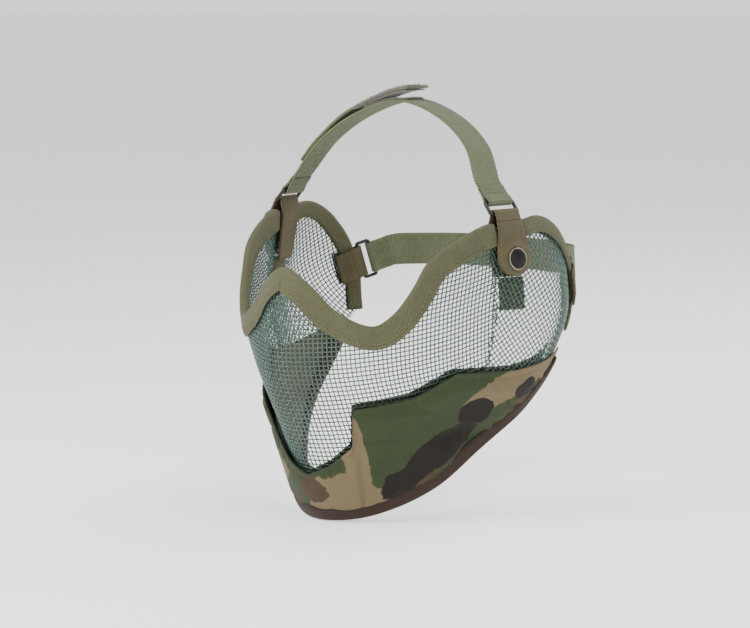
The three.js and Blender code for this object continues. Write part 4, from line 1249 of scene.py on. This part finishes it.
# ---------------------------------------------------------------- foam behind the cloth
def foam_pad():
    columns, rows, reach = 320, 18, 93
    angle = np.linspace(-reach, reach, columns)[:, None]
    low = bottom_edge(angle)
    high = np.maximum(cover_top(angle) - MESH_UNDER_COVER - HEM_INSET, low + 4)
    z = low + np.linspace(0, 1, rows)[None, :] * (high - low)
    angle = np.broadcast_to(angle, z.shape)
    inside = np.minimum(z - low, high - z)
    soft = 0.5 * (1 - np.clip(inside / 1.5, 0, 1)) ** 2
    pits = rng.normal(0, 0.05, z.shape)
    outer = over_form(angle, z, FOAM[1] - soft + pits - 0.1)
    inner = over_form(angle, z, FOAM[0] + soft - pits + 0.1)
    pad = shell("jaw_foam_pad", outer, inner, MATERIALS["foam"], arc_grid(outer))
    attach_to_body(pad, "mask")
    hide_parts("jaw_foam")


foam_pad()


# ---------------------------------------------------------------- stage, light and camera
AZIMUTH, ELEVATION, DISTANCE = math.radians(38), math.radians(7.2), 1500


def look_from(azimuth, elevation):
    return np.array([math.sin(azimuth) * math.cos(elevation), -math.cos(azimuth) * math.cos(elevation),
                     math.sin(elevation)])


def stage_and_light():
    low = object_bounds()[0][2]
    floor_material = Nodes("pale_floor")
    floor_material.put("Base Color", rgb(240, 240, 239))
    floor_material.put("Emission Color", rgb(250, 250, 250))
    floor_material.put("Emission Strength", 0.8)
    floor_material.put("Roughness", floor_material.math(
        "MULTIPLY_ADD", floor_material.noise(8, 2, 0.5, floor_material.object_space()), 0.1, 0.6))
    bpy.ops.mesh.primitive_plane_add(size=80, location=(0, 0, low - 0.0006))
    floor = bpy.context.object
    floor.name = "floor"
    floor.data.materials.append(floor_material.material)
    world = bpy.data.worlds.new("studio")
    bpy.context.scene.world = world
    world.use_nodes = True
    nodes, links = world.node_tree.nodes, world.node_tree.links
    height = nodes.new("ShaderNodeSeparateXYZ")
    links.new(nodes.new("ShaderNodeTexCoord").outputs["Generated"], height.inputs[0])
    overhead = nodes.new("ShaderNodeMapRange")
    links.new(height.outputs[2], overhead.inputs["Value"])
    for socket, value in (("From Min", 0.12), ("From Max", 0.6), ("To Min", 1.3), ("To Max", 0.32)):
        overhead.inputs[socket].default_value = value
    nodes["Background"].inputs[0].default_value = (0.98, 0.985, 1.0, 1)
    links.new(overhead.outputs[0], nodes["Background"].inputs[1])
    lights = (("key", (-20, 38), 1.3, 20, 0.7), ("fill", (75, 20), 1.5, 7, 1.2),
              ("rim", (160, 45), 1.4, 14, 0.8), ("crown", (38, 80), 1.5, 8, 1.0))
    for name, (azimuth, elevation), distance, power, size in lights:
        light = bpy.data.lights.new(name, "AREA")
        light.energy, light.size = power, size
        holder = bpy.data.objects.new(name, light)
        bpy.context.collection.objects.link(holder)
        way = look_from(math.radians(azimuth), math.radians(elevation))
        holder.location = way * distance
        holder.rotation_euler = Vector(-way).to_track_quat("-Z", "Y").to_euler()


def camera_at_photo():
    way = look_from(AZIMUTH, ELEVATION)
    right = np.array([math.cos(AZIMUTH), math.sin(AZIMUTH), 0])
    up = np.cross(way, right) * -1
    aim = -20.4 * right - 6 * up * np.sign(up[2])
    data = bpy.data.cameras.new("camera")
    data.lens, data.sensor_width = 120, 36
    data.clip_start = 0.05
    holder = bpy.data.objects.new("camera", data)
    bpy.context.collection.objects.link(holder)
    holder.location = (aim + way * DISTANCE) * MM
    holder.rotation_euler = Vector(-way).to_track_quat("-Z", "Y").to_euler()
    bpy.context.scene.camera = holder


stage_and_light()
camera_at_photo()
